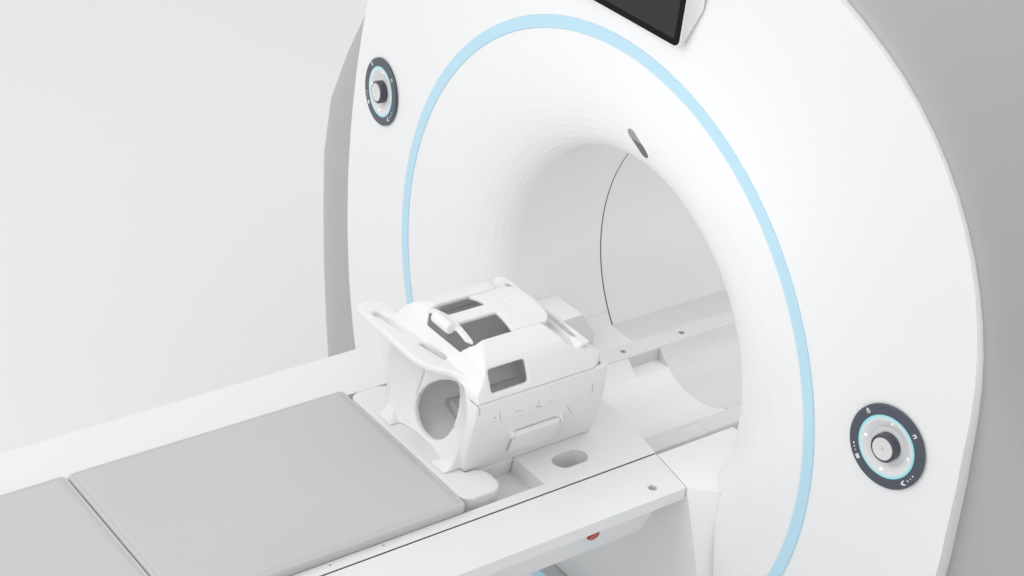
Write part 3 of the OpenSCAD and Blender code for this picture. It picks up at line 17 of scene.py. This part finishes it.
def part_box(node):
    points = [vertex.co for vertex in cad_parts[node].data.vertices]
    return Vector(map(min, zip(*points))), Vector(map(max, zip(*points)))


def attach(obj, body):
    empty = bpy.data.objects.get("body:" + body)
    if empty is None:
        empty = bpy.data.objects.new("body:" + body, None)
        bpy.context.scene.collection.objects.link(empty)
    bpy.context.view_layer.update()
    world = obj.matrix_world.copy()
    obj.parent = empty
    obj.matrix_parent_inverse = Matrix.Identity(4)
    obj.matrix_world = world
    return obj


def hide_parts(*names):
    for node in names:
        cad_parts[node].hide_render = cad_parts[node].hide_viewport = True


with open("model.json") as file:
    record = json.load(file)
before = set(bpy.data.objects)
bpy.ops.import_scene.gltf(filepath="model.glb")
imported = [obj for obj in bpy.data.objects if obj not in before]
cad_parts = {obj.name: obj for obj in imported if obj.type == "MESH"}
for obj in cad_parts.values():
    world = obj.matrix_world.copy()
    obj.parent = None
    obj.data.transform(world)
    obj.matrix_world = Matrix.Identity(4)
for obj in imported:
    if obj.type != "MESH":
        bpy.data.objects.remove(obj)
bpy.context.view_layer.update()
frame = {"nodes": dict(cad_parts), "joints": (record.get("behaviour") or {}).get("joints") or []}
nodes = frame["nodes"]

# %% [markdown]
# ## Camera
#
# The photograph looks down on the machine from the front right. The camera's
# place was solved from the lit ring, the bore's seam and the table's edges.
# There is no shift and no blur, so other views can move the camera freely.

# %% Camera
ISO_H = 0.98
FOCAL_PX = 1912.0
FRAME_PX = 1024.0
FILM_MM = 36.0
CAMERA_PLACE = (2.300, -2.886, 2.851)
CAMERA_AZIMUTH = 50.41
CAMERA_PITCH = 29.87
CAMERA_ROLL = -6.31


def camera(place, azimuth, pitch, roll):
    """Stands the camera at a place, turned left by azimuth and tipped down by pitch."""
    data = bpy.data.cameras.new("camera")
    data.sensor_width = FILM_MM
    data.lens = FOCAL_PX / FRAME_PX * data.sensor_width
    data.clip_end = 200.0
    turn = (Matrix.Rotation(math.radians(azimuth), 4, "Z")
            @ Matrix.Rotation(math.radians(90.0 - pitch), 4, "X")
            @ Matrix.Rotation(math.radians(-roll), 4, "Z"))
    obj = bpy.data.objects.new("camera", data)
    bpy.context.scene.collection.objects.link(obj)
    obj.matrix_world = Matrix.Translation(place) @ turn
    bpy.context.scene.camera = obj
    return obj


camera(CAMERA_PLACE, CAMERA_AZIMUTH, CAMERA_PITCH, CAMERA_ROLL)
print("lens:", round(bpy.context.scene.camera.data.lens, 2), "mm")

# %% [markdown]
# ## Shader arithmetic
#
# Materials are built from nodes. A small class wraps a node's output, so that
# masks and patterns can be written as ordinary expressions. A second class
# holds a material and has one method that adds any node.

# %% Values


class Value:
    """An output that Python's arithmetic can be used on."""

    def __init__(self, shader, socket):
        self.shader = shader
        self.socket = socket

    def math(self, operation, *others):
        return self.shader.calc(operation, self, *others)

    def __add__(self, other):
        return self.math("ADD", other)

    __radd__ = __add__

    def __sub__(self, other):
        return self.math("SUBTRACT", other)

    def __rsub__(self, other):
        return self.shader.calc("SUBTRACT", other, self)

    def __mul__(self, other):
        return self.math("MULTIPLY", other)

    __rmul__ = __mul__

    def __truediv__(self, other):
        return self.math("DIVIDE", other)

    def clamp(self):
        return self.shader.node("ShaderNodeClamp", {}, {"Value": self})

    def below(self, edge, soft):
        """1 where the value is below edge, 0 above it, over a soft step."""
        return ((edge - self) / soft + 0.5).clamp()

    def above(self, edge, soft):
        return ((self - edge) / soft + 0.5).clamp()

    def near(self, middle, reach, soft):
        """1 within reach of the middle."""
        return (self - middle).math("ABSOLUTE").below(reach, soft)

    def most(self, other):
        return self.math("MAXIMUM", other)


# %% Shader


class Shader:
    """A material's node tree, with one method that adds any node."""

    def __init__(self, name):
        self.material = bpy.data.materials.new(name)
        self.material.use_nodes = True
        self.tree = self.material.node_tree
        self.bsdf = self.tree.nodes["Principled BSDF"]

    def node(self, kind, settings=None, inputs=None, out=0):
        made = self.tree.nodes.new(kind)
        for key, value in (settings or {}).items():
            setattr(made, key, value)
        for key, value in (inputs or {}).items():
            self.feed(made.inputs[key], value)
        return Value(self, made.outputs[out])

    def feed(self, socket, value):
        if isinstance(value, Value):
            self.tree.links.new(value.socket, socket)
        else:
            socket.default_value = value

    def set(self, **sockets):
        for key, value in sockets.items():
            self.feed(self.bsdf.inputs[key.replace("_", " ")], value)
        return self

    def calc(self, operation, *values):
        return self.node("ShaderNodeMath", {"operation": operation}, dict(enumerate(values)))

    def where(self):
        return self.node("ShaderNodeTexCoord", out=3)

    def axes(self):
        """The three coordinates of a place on the object."""
        split = self.node("ShaderNodeSeparateXYZ", {}, {0: self.where()})
        return [Value(self, out) for out in split.socket.node.outputs]

    def along(self, way):
        """How far a place lies along a direction."""
        return self.node("ShaderNodeVectorMath", {"operation": "DOT_PRODUCT"},
                         {0: self.where(), 1: way}, out=1)

    def noise(self, scale, detail=2.0, vector=None, rough=0.5):
        return self.node("ShaderNodeTexNoise", {"noise_dimensions": "3D"},
                         {"Vector": vector or self.where(), "Scale": scale,
                          "Detail": detail, "Roughness": rough})

    def mix(self, mask, low, high):
        """A colour between low and high."""
        made = self.node("ShaderNodeMix", {"data_type": "RGBA"}, {"Factor": mask})
        sockets = made.socket.node.inputs
        self.feed(sockets[6], low)
        self.feed(sockets[7], high)
        return Value(self, made.socket.node.outputs[2])

    def bump(self, height, distance):
        return self.node("ShaderNodeBump", {}, {"Height": height, "Distance": distance,
                                                "Strength": 1.0})


def grey(level, tint=(1.0, 1.0, 1.0)):
    return (level * tint[0], level * tint[1], level * tint[2], 1.0)


def darker(colour, share):
    return tuple(c * share for c in colour[:3]) + (1.0,)


# %% [markdown]
# ## Finishes
#
# The covers are glossy moulded plastic. Up close such a surface isn't even:
# it has a faint orange peel, and its gloss varies a little from hand marks
# and cleaning. Both come from noise that is tied to the object, not the view.

# %% Moulded plastic


def plastic(name, colour, rough, coat=0.3, peel=0.00002, peel_scale=260.0, wear=0.06,
            gloss=0.5, marks=None, mark_colour=None):
    """A moulded surface with a faint texture, an uneven gloss and, if given, marks such as print,
    a dark seam and a strip of painted shade.
    """
    s = Shader(name)
    broad = s.noise(2.2, 3.0)
    wiped = s.noise(14.0, 5.0, rough=0.62)
    base = s.mix((broad * 0.5).clamp(), colour, darker(colour, 0.95))
    height = s.noise(peel_scale, 2.0)
    if marks:
        mask = marks(s)
        base = s.mix(mask, base, mark_colour)
        height = height * 0.3 - mask * 6.0
    s.set(Base_Color=base, Roughness=(rough + (wiped - 0.5) * wear * 2.0).clamp(),
          Coat_Weight=coat, Coat_Roughness=0.12, Specular_IOR_Level=gloss,
          Normal=s.bump(height, peel))
    return s.material


# %% Metal and paint


def metal(name, colour, rough, along=(1.0, 1.0, 1.0)):
    """Bare machined metal with fine lines along one way."""
    s = Shader(name)
    place = s.node("ShaderNodeMapping", {}, {"Vector": s.where(), "Scale": along})
    lines = s.noise(400.0, 4.0, place, 0.6)
    s.set(Base_Color=s.mix(lines, colour, darker(colour, 0.82)),
          Metallic=1.0, Roughness=(rough + (lines - 0.5) * 0.16).clamp(),
          Normal=s.bump(lines, 0.00002))
    return s.material


def painted(name, colour, rough):
    """Powder-coated steel."""
    s = Shader(name)
    grain = s.noise(900.0, 2.0)
    s.set(Base_Color=s.mix(s.noise(6.0, 4.0), colour, darker(colour, 0.9)),
          Roughness=(rough + (grain - 0.5) * 0.1).clamp(),
          Normal=s.bump(grain, 0.00005))
    return s.material


def paint(material, *names):
    """Gives CAD nodes a finish."""
    for name in names:
        for place in nodes[name].material_slots:
            place.material = material


# %% Covers and table
white = plastic("cover white", grey(0.87, (0.995, 0.997, 1.0)), 0.32, coat=0.3)
body_grey = plastic("side cover grey", grey(0.43), 0.42, coat=0.15)
TABLE_TONE = grey(0.81, (0.995, 1.0, 1.005))
# Height and half height of the painted shade strip on the tabletop's sides.
GAP_SHADE_Z = 0.8425
GAP_SHADE_HALF = 0.0052
table_white = plastic("table white", TABLE_TONE, 0.30, coat=0.25)


def gap_shade_strip(s):
    """Painted shade: a dark strip along the tabletop's sides, standing for the shade in the
    narrow gap beside the shelf.
    """
    x, _, z = s.axes()
    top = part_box("tabletop")[1]
    return x.math("ABSOLUTE").above(top.x - 0.0005, 0.0005) * z.near(GAP_SHADE_Z, GAP_SHADE_HALF, 0.0006)


SEAM_W = 0.0028


def bore_seam(s):
    """A dark rubber seal along the liner's front edge."""
    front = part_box("bore_liner")[0].y
    return s.axes()[1].below(front + SEAM_W, 0.0008)


bridge_grey = plastic("bridge grey", grey(0.72), 0.36, coat=0.2)
liner_grey = plastic("liner grey", grey(0.86), 0.36, coat=0.2,
                     marks=bore_seam, mark_colour=grey(0.10))
rail_grey = plastic("rail grey", grey(0.73), 0.34, coat=0.2)
paint(white, "front_cover", "rear_cover", "front_flare", "rear_flare", "dock_cover")
paint(body_grey, "floor_duct")
paint(table_white, "table_body", "table_foot_cap", "lower_skirt", "upper_skirt")
# The tabletop gets a painted shade strip along its sides, where the gap beside the shelf lies in
# shade.
paint(plastic("tabletop white", TABLE_TONE, 0.30, coat=0.25, marks=gap_shade_strip,
              mark_colour=grey(0.05)), "tabletop")
paint(liner_grey, "bore_liner")
paint(bridge_grey, "bore_bridge")
paint(rail_grey, "bore_rail_left", "bore_rail_right", "rail_latch")

# %% Metal and hidden parts
steel = metal("brushed steel", grey(0.55), 0.34)
paint(steel, "rail_screws", "lift_rams", "drive_pinion", "drive_rack")
paint(painted("frame paint", grey(0.35), 0.5), "magnet_feet", "table_plate")
paint(painted("pale frame paint", grey(0.70), 0.5), "front_frame", "rear_frame")
paint(painted("vessel paint", grey(0.62), 0.4), "magnet_vessel", "cold_head")
paint(painted("dark paint", grey(0.12), 0.45), "drive_motor", "lift_cylinders")
paint(metal("bare aluminium", grey(0.72), 0.35), "winding_former")
paint(metal("copper wire", (0.75, 0.38, 0.2, 1.0), 0.4, (1.0, 12.0, 1.0)), "windings")
paint(plastic("glass fibre", (0.5, 0.42, 0.24, 1.0), 0.45), "gradient_coil", "body_coil")
paint(plastic("bezel black", grey(0.004), 0.34, coat=0.0, gloss=0.12), "display_bezel")
paint(plastic("knob slate", (0.060, 0.062, 0.082, 1.0), 0.4, coat=0.1), "knob_left", "knob_right")
paint(plastic("stop red", (0.42, 0.012, 0.022, 1.0), 0.28, coat=0.4),
      "stop_button_left", "stop_button_right")

# %% [markdown]
# ## Control panels
#
# A panel is a dark ring with small printed signs, a glowing line, and a white
# dish with four small lights round a knob. The signs are masks in the panel's
# own plane: the knob's joint gives its centre and the way that it faces, so
# the same recipe serves both panels, and every sign turns with its panel.

# %% Panel plane
BAND_R = 0.063
LIGHTS_R = 0.042
LIGHT_SIZE = 0.0027
DISH_R = 0.052
PRINT_SOFT = 0.0005


class PanelPlane:
    """Coordinates on a panel's face: right and up, from the knob's joint."""

    def __init__(self, side):
        joint = next(j for j in frame["joints"] if j["name"] == "knob_turn_" + side)
        self.centre = Vector(joint["pos_m"])
        out = Vector(joint["axis"]).normalized()
        self.right = Vector((0.0, 0.0, 1.0)).cross(out).normalized()
        self.up = out.cross(self.right)

    def turned(self, s, angle):
        """Coordinates outwards and round, as seen from a place on the band."""
        a = math.radians(angle)
        out = self.right * math.cos(a) + self.up * math.sin(a)
        round_way = self.up * math.cos(a) - self.right * math.sin(a)
        return (s.along(out) - self.centre.dot(out),
                s.along(round_way) - self.centre.dot(round_way))


def dot(s, plane, angle, radius, size, shift=(0.0, 0.0)):
    outwards, sideways = plane.turned(s, angle)
    u = outwards - (radius + shift[0])
    v = sideways - shift[1]
    return (u * u + v * v).math("SQRT").below(size, PRINT_SOFT)


def block(s, plane, angle, radius, half_u, half_v, shift=(0.0, 0.0)):
    outwards, sideways = plane.turned(s, angle)
    return (outwards.near(radius + shift[0], half_u, PRINT_SOFT)
            * sideways.near(shift[1], half_v, PRINT_SOFT))


# %% Printed signs
# Angles on the band in degrees, from the right and towards the top.
DROP_AT = 137
HOUSE_AT = 45
SQUARE_AT = -137
ARROW_AT = -45
# Size of each dot of the drop, and how far it lies outwards of the first.
DROP_DOTS = ((0.0034, 0.0), (0.0024, 0.0025), (0.0013, 0.0048))
# Where a row of dots starts, the step between them, and their sizes.
DOT_ROWS = ((-147, -5.5, (0.0012, 0.0014, 0.0017)), (-34, 6.5, (0.0016, 0.0012, 0.0016)))


def signs(plane):
    """A drop, a house, a square with three dots and an arrow with three dots."""
    def draw(s):
        parts = [dot(s, plane, DROP_AT, BAND_R, size, (shift, 0.0)) for size, shift in DROP_DOTS]
        drop = parts[0].most(parts[1]).most(parts[2])
        drop = drop * (1.0 - dot(s, plane, DROP_AT, BAND_R, 0.0015))
        house = block(s, plane, HOUSE_AT, BAND_R, 0.0036, 0.0032)
        door = block(s, plane, HOUSE_AT, BAND_R, 0.0026, 0.0014, (-0.0022, 0.0))
        house = house * (1.0 - door)
        marks = drop.most(house).most(block(s, plane, SQUARE_AT, BAND_R, 0.0034, 0.0040))
        outwards, sideways = plane.turned(s, ARROW_AT)
        slant = (sideways - (outwards - BAND_R).math("ABSOLUTE") * 1.3)
        marks = marks.most(slant.above(-0.0045, PRINT_SOFT) * slant.below(0.0008, PRINT_SOFT)
                           * outwards.near(BAND_R, 0.0042, PRINT_SOFT))
        for start, step, sizes in DOT_ROWS:
            for i, size in enumerate(sizes):
                marks = marks.most(dot(s, plane, start + step * i, BAND_R, size))
        return marks
    return draw


def dish(name, plane):
    """The white dish, with four small lights and a painted cyan glow near its rim."""
    s = Shader(name)
    lights = dot(s, plane, 0, LIGHTS_R, LIGHT_SIZE)
    for angle in (90, 180, 270):
        lights = lights.most(dot(s, plane, angle, LIGHTS_R, LIGHT_SIZE))
    outwards, sideways = plane.turned(s, 0)
    middle = (outwards * outwards + sideways * sideways).math("SQRT")
    # Painted light: the cyan glow of the panel's line, painted on the dish near its rim.
    painted_glow_rim = middle.above(DISH_R - 0.0035, 0.006) * 0.8
    tone = s.mix(painted_glow_rim, grey(0.76, (1.0, 1.0, 1.01)), (0.50, 0.80, 0.84, 1.0))
    s.set(Base_Color=s.mix(lights, tone, grey(0.95)),
          Roughness=(0.3 + (s.noise(30.0, 3.0) - 0.5) * 0.1).clamp(), Coat_Weight=0.3,
          Emission_Color=s.mix(lights, grey(0.0), grey(1.0)), Emission_Strength=0.35,
          Normal=s.bump(lights, 0.0004))
    return s.material


def cap_top(name, plane):
    """The push cap, with a fine cross in its middle."""
    def cross(s):
        bars = block(s, plane, 45, 0.0, 0.0040, 0.0004)
        bars = bars.most(block(s, plane, -45, 0.0, 0.0040, 0.0004))
        return bars.most(dot(s, plane, 0, 0.0, 0.0012)) * 0.7
    return plastic(name, grey(0.72), 0.36, marks=cross, mark_colour=grey(0.25))


for side in ("left", "right"):
    plane = PanelPlane(side)
    ring = plastic("panel slate " + side, (0.070, 0.080, 0.108, 1.0), 0.40, coat=0.1,
                   marks=signs(plane), mark_colour=grey(0.75))
    paint(ring, "panel_ring_" + side)
    paint(dish("dish white " + side, plane), "panel_dish_" + side)
    paint(cap_top("cap light " + side, plane), "knob_cap_" + side)
print("panels printed")

# %% [markdown]
# ## Lit parts
#
# The ring round the bore glows a pale blue, and the control panels have a
# thin cyan line. They give off light themselves, so part of their colour is
# emission, and only a little of it, so that the hue stays clear.

# %% Lit parts


def lit(name, base, glow, strength):
    s = Shader(name)
    haze = s.noise(9.0, 2.0)
    s.set(Base_Color=base, Roughness=(0.3 + (haze - 0.5) * 0.1).clamp(), Coat_Weight=0.3,
          Emission_Color=s.mix(haze, glow, darker(glow, 0.93)),
          Emission_Strength=strength)
    return s.material


paint(lit("ring light", (0.42, 0.60, 0.68, 1.0), (0.30, 0.62, 0.88, 1.0), 0.20), "light_ring")
paint(lit("panel light", (0.30, 0.62, 0.66, 1.0), (0.16, 0.72, 0.80, 1.0), 0.26),
      "panel_glow_left", "panel_glow_right")

# %% [markdown]
# ## Display and sensor
#
# The display is off, so its glass is dark with a faint smear that only its
# gloss shows. The sensor window over the bore is two dark panes behind one
# oval glass, a grey one above and a nearly black one below.

# %% Display and sensor


def screen():
    s = Shader("screen glass")
    smear = s.noise(7.0, 4.0)
    s.set(Base_Color=s.mix(smear, grey(0.024), grey(0.030, (1.0, 1.0, 1.02))),
          Roughness=(0.12 + smear * 0.12).clamp(), Specular_IOR_Level=0.2)
    return s.material


def sensor():
    s = Shader("sensor window")
    height = s.axes()[2]
    low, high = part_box("sensor_window")
    middle = (low.z + high.z) / 2.0
    s.set(Base_Color=s.mix(height.above(middle, 0.002), grey(0.055), grey(0.26)),
          Roughness=(0.2 + s.noise(40.0) * 0.1).clamp(), Coat_Weight=0.3)
    return s.material


paint(screen(), "display_glass")
paint(sensor(), "sensor_window")

# %% [markdown]
# ## Rounded mouldings
#
# CAD solids have sharp edges, and their curves are cut in flat faces. Each
# piece of the head coil is a copy that is rebuilt on a fine grid of voxels.
# A few rounds of smoothing then wear its edges round, which keeps every slot
# and window where the CAD has it. The side covers and the display's shell
# keep their faces, and are shaded smooth up to a crease.

# %% Piece helpers


def finished(mesh_data, name, material, body):
    """Turns a bmesh into a smooth piece that rides on a body."""
    data = bpy.data.meshes.new(name)
    mesh_data.to_mesh(data)
    mesh_data.free()
    obj = bpy.data.objects.new(name, data)
    bpy.context.scene.collection.objects.link(obj)
    data.materials.append(material)
    for face in data.polygons:
        face.use_smooth = True
    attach(obj, body)
    return obj


def copied(node):
    """A CAD node's shape, with its loose triangles joined."""
    b = bmesh.new()
    b.from_mesh(nodes[node].data)
    bmesh.ops.remove_doubles(b, verts=b.verts, dist=2e-6)
    bmesh.ops.recalc_face_normals(b, faces=b.faces)
    return b


def moulded(name, node, material, body, grain=0.0026, rounds=5):
    """A worn-round copy of a CAD node, which stands for it."""
    obj = finished(copied(node), name, material, body)
    skin = obj.modifiers.new("skin", "REMESH")
    skin.mode = "VOXEL"
    skin.voxel_size = grain
    wear = obj.modifiers.new("wear", "SMOOTH")
    wear.factor = 0.5
    wear.iterations = rounds
    bpy.context.view_layer.update()
    seen = obj.evaluated_get(bpy.context.evaluated_depsgraph_get())
    baked = bpy.data.meshes.new_from_object(seen)
    obj.modifiers.clear()
    obj.data = baked
    for face in baked.polygons:
        face.use_smooth = True
    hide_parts(node)
    print(name, "faces:", len(baked.polygons))
    return obj


def smoothed(name, node, material, body, crease=28.0):
    """A copy of a faceted CAD node that is shaded smooth up to a crease angle."""
    obj = finished(copied(node), name, material, body)
    obj.data.set_sharp_from_angle(angle=math.radians(crease))
    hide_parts(node)
    return obj


# %% Side covers and display shell
for side in ("left", "right"):
    smoothed("cover_side_" + side, "side_cover_" + side, body_grey, "gantry")
smoothed("display_shell", "display_housing", white, "gantry", 24.0)

# %% [markdown]
# ## Head coil
#
# The coil is light grey plastic with a fine matt grain. The lower half has
# small moulded catches and marks on its sides. They are shallow engraved
# lines, so they are masks in the coil's side view, dark and a little sunk.

# %% Coil marks
MARK_EDGE = 0.0006
FLANK_X = 0.125


def bar_mark(y, z, start, end, half_w):
    """A short line in the side view, from one place to another."""
    middle = (Vector(start) + Vector(end)) / 2.0
    run = Vector(end) - Vector(start)
    way = run.normalized()
    along_line = (y - middle.x) * way.x + (z - middle.y) * way.y
    across = (z - middle.y) * way.x - (y - middle.x) * way.y
    return (along_line.near(0.0, run.length / 2.0, MARK_EDGE)
            * across.near(0.0, half_w, MARK_EDGE))


# Start and end in the side view (y and z), and half the width.
MARKS = (
    ((-1.158, 1.028), (-1.149, 1.015), 0.0008), ((-1.149, 1.015), (-1.149, 1.002), 0.0008),
    ((-1.1147, 0.9855), (-1.1117, 0.9855), 0.0016), ((-1.103, 0.993), (-1.099, 0.975), 0.0008),
    ((-1.070, 0.984), (-1.052, 0.982), 0.0007), ((-1.021, 0.978), (-1.005, 0.975), 0.0008),
    ((-1.018, 0.979), (-1.015, 0.9915), 0.0007), ((-0.9910, 0.981), (-0.9882, 0.981), 0.0014),
    ((-0.944, 0.955), (-0.926, 0.930), 0.0006), ((-0.8925, 0.9895), (-0.889, 0.965), 0.0008),
)


def coil_marks(s):
    """The marks, on both flanks of the lower half."""
    x, y, z = s.axes()
    flank = x.math("ABSOLUTE").above(FLANK_X, 0.004)
    lines = None
    for start, end, half_w in MARKS:
        line = bar_mark(y, z, start, end, half_w)
        lines = line if lines is None else lines.most(line)
    return lines * flank * 0.75


matt = {"rough": 0.44, "coat": 0.1, "peel": 0.00003, "peel_scale": 700.0}
coil_white = plastic("coil white", grey(0.80), **matt)
coil_marked = plastic("coil white with marks", grey(0.80), **matt,
                      marks=coil_marks, mark_colour=grey(0.22))

# %% Coil pieces
moulded("coil_foot_plate", "coil_base", coil_white, "top")
moulded("coil_cradle", "coil_lower", coil_marked, "top")
moulded("coil_hood", "coil_upper", coil_white, "top")
moulded("coil_bridge", "mirror_bridge", coil_white, "top", 0.0018, 4)
for side in ("left", "right"):
    moulded("coil_flap_" + side, "coil_lever_" + side, coil_white, "lever_" + side,
            0.0012, 3)

# %% [markdown]
# ## Soft pads
#
# The mattress is firm foam in a coated cloth cover. The cover is drawn tight,
# so the top is nearly flat, the long edges are rounded, and a welded seam
# runs round the top. A box is beveled, gets the seam as a narrow sunk ring,
# and is then cut finely and crowned a little.

# %% Coated cloth


def coated_cloth(name, level):
    s = Shader(name)
    weave = s.node("ShaderNodeTexVoronoi", {"feature": "F1"},
                   {"Vector": s.where(), "Scale": 1400.0})
    broad = s.noise(5.0, 4.0)
    clean = grey(level, (1.0, 0.992, 0.998))
    worn = grey(level * 0.94, (1.0, 0.99, 0.996))
    s.set(Base_Color=s.mix(broad, clean, worn),
          Roughness=(0.58 + (s.noise(30.0, 5.0) - 0.5) * 0.2).clamp(), Sheen_Weight=0.1,
          Normal=s.bump(weave * 0.15 + broad * 3.0, 0.0002))
    return s.material


pad_cloth = coated_cloth("pad cloth", 0.56)

# %% Pad
CORNER_R = 0.011
EDGE_R = 0.0055
SEAM_RINGS = ((0.0010, 0.0), (0.0012, -0.0012), (0.0012, 0.0012))
CUT_STEP = 0.02


def pad(name, node, crown):
    """A tight pad in the space of a CAD node, with a welded seam round its top."""
    low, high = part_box(node)
    size = high - low
    middle = (low + high) / 2.0
    b = bmesh.new()
    bmesh.ops.create_cube(b, size=1.0)
    bmesh.ops.scale(b, vec=size, verts=b.verts)
    bmesh.ops.translate(b, vec=middle, verts=b.verts)
    upright = [e for e in b.edges if abs(e.verts[0].co.z - e.verts[1].co.z) > 1e-4]
    bmesh.ops.bevel(b, geom=upright, offset=CORNER_R, segments=6, profile=0.5,
                    affect="EDGES", material=-1)
    b.faces.ensure_lookup_table()
    top = max(b.faces, key=lambda f: f.calc_center_median().z)
    bmesh.ops.bevel(b, geom=list(top.edges), offset=EDGE_R, segments=6, profile=0.5,
                    affect="EDGES", material=-1)
    for thickness, depth in SEAM_RINGS:
        top = max((f for f in b.faces if f.normal.z > 0.9), key=lambda f: f.calc_area())
        bmesh.ops.inset_region(b, faces=[top], thickness=thickness, depth=depth)
    for axis in (0, 1):
        count = int(size[axis] / CUT_STEP)
        for i in range(1, count):
            at = Vector((0.0, 0.0, 0.0))
            at[axis] = low[axis] + size[axis] * i / count
            way = Vector((0.0, 0.0, 0.0))
            way[axis] = 1.0
            bmesh.ops.bisect_plane(b, geom=b.verts[:] + b.edges[:] + b.faces[:], dist=1e-6,
                                   plane_co=at, plane_no=way)
    for v in b.verts:
        fx = abs(v.co.x - middle.x) / (size.x / 2.0)
        fy = abs(v.co.y - middle.y) / (size.y / 2.0)
        dip = crown * (1.0 - (1.0 - fx ** 4) * (1.0 - fy ** 16))
        v.co.z -= dip * (v.co.z - low.z) / size.z
    bmesh.ops.recalc_face_normals(b, faces=b.faces)
    obj = finished(b, name, pad_cloth, "top")
    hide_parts(node)
    print(name, "faces:", len(obj.data.polygons))
    return obj


for end in ("head", "foot"):
    pad("mattress_pad_" + end, "mattress_" + end, 0.0015)

# %% Head cushion


def head_cushion():
    """The pad under the head, with its sharp edges rounded."""
    b = copied("head_pad")
    bmesh.ops.dissolve_limit(b, angle_limit=0.02, verts=b.verts, edges=b.edges)
    sharp = [e for e in b.edges if e.calc_face_angle(0.0) > 0.6]
    bmesh.ops.bevel(b, geom=sharp, offset=0.005, segments=3, profile=0.5,
                    affect="EDGES", material=-1)
    bmesh.ops.recalc_face_normals(b, faces=b.faces)
    obj = finished(b, "head_cushion", pad_cloth, "top")
    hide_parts("head_pad")
    return obj


head_cushion()

# %% [markdown]
# ## Rim studs
#
# Two small studs sit in each rim of the tabletop, where the mattress is
# buttoned down. Each is a shallow turned button, spun from its half section.

# %% Rim studs
STUD_X = 0.2125
STUD_YS = (-1.483, -1.377)


def stud(b, place, radius=0.0022, height=0.0007):
    """A button with a rounded edge, spun round its own axis."""
    steps = ((0.0, height), (radius * 0.7, height), (radius, height * 0.4),
             (radius, 0.0), (0.0, 0.0))
    line = [b.verts.new(Vector(place) + Vector((r, 0.0, h))) for r, h in steps]
    edges = [b.edges.new(pair) for pair in zip(line, line[1:])]
    bmesh.ops.spin(b, geom=line + edges, cent=place, axis=(0.0, 0.0, 1.0),
                   angle=math.tau, steps=20, use_merge=True)


def rim_studs():
    """Two studs in each rim."""
    rim_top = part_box("tabletop")[1].z
    b = bmesh.new()
    for side in (-1.0, 1.0):
        for y in STUD_YS:
            stud(b, (side * STUD_X, y, rim_top))
    bmesh.ops.remove_doubles(b, verts=b.verts, dist=1e-6)
    bmesh.ops.recalc_face_normals(b, faces=b.faces)
    finished(b, "rim_studs", steel, "top")


rim_studs()

# %% [markdown]
# ## Floor and light
#
# A plain pale floor keeps the machine's shadow. The light is soft: a bright
# surrounding and large lamps, at a level where white stays below clipping.
# A long lamp under the bore's crown and a narrow beam through its mouth keep
# the deep white tube from going dull.

# %% Floor
COOL = (0.99, 0.995, 1.0)


def floor():
    """A wide pale floor."""
    b = bmesh.new()
    bmesh.ops.create_grid(b, x_segments=8, y_segments=8, size=30.0)
    data = bpy.data.meshes.new("floor")
    b.to_mesh(data)
    b.free()
    obj = bpy.data.objects.new("floor", data)
    bpy.context.scene.collection.objects.link(obj)
    s = Shader("floor")
    s.set(Base_Color=s.mix(s.noise(0.8, 3.0), grey(0.80, COOL), grey(0.83, COOL)),
          Roughness=0.6)
    data.materials.append(s.material)


floor()

# %% Light


def lamp(name, place, aim, size, power, spread=180.0):
    """A rectangular lamp of a power in watts that looks at a place."""
    data = bpy.data.lights.new(name, "AREA")
    data.spread = math.radians(spread)
    data.shape = "RECTANGLE"
    data.size, data.size_y = size
    data.energy = power
    obj = bpy.data.objects.new(name, data)
    bpy.context.scene.collection.objects.link(obj)
    way = Vector(aim) - Vector(place)
    turn = way.to_track_quat("-Z", "Y").to_matrix().to_4x4()
    obj.matrix_world = Matrix.Translation(place) @ turn
    return obj


def surroundings(level):
    """An even, slightly cool light from all round."""
    world = bpy.data.worlds.new("surroundings")
    bpy.context.scene.world = world
    world.use_nodes = True
    back = world.node_tree.nodes["Background"]
    back.inputs["Color"].default_value = grey(0.97, COOL)
    back.inputs["Strength"].default_value = level


surroundings(0.92)
lamp("key", (-1.6, -5.4, 4.6), (0.0, -0.8, 1.0), (4.0, 3.0), 84.0)
lamp("top", (0.0, -1.5, 5.5), (0.0, -0.6, 0.8), (5.0, 5.0), 16.0)
lamp("bore_front", (1.1, -3.4, 2.1), (-0.34, 0.3, 0.92), (0.6, 0.5), 0.36, 19.0)
lamp("bore_top", (0.0, 0.0, ISO_H + 0.30), (0.0, 0.0, ISO_H), (0.30, 1.3), 1.6)
bpy.context.scene.view_settings.view_transform = "Standard"
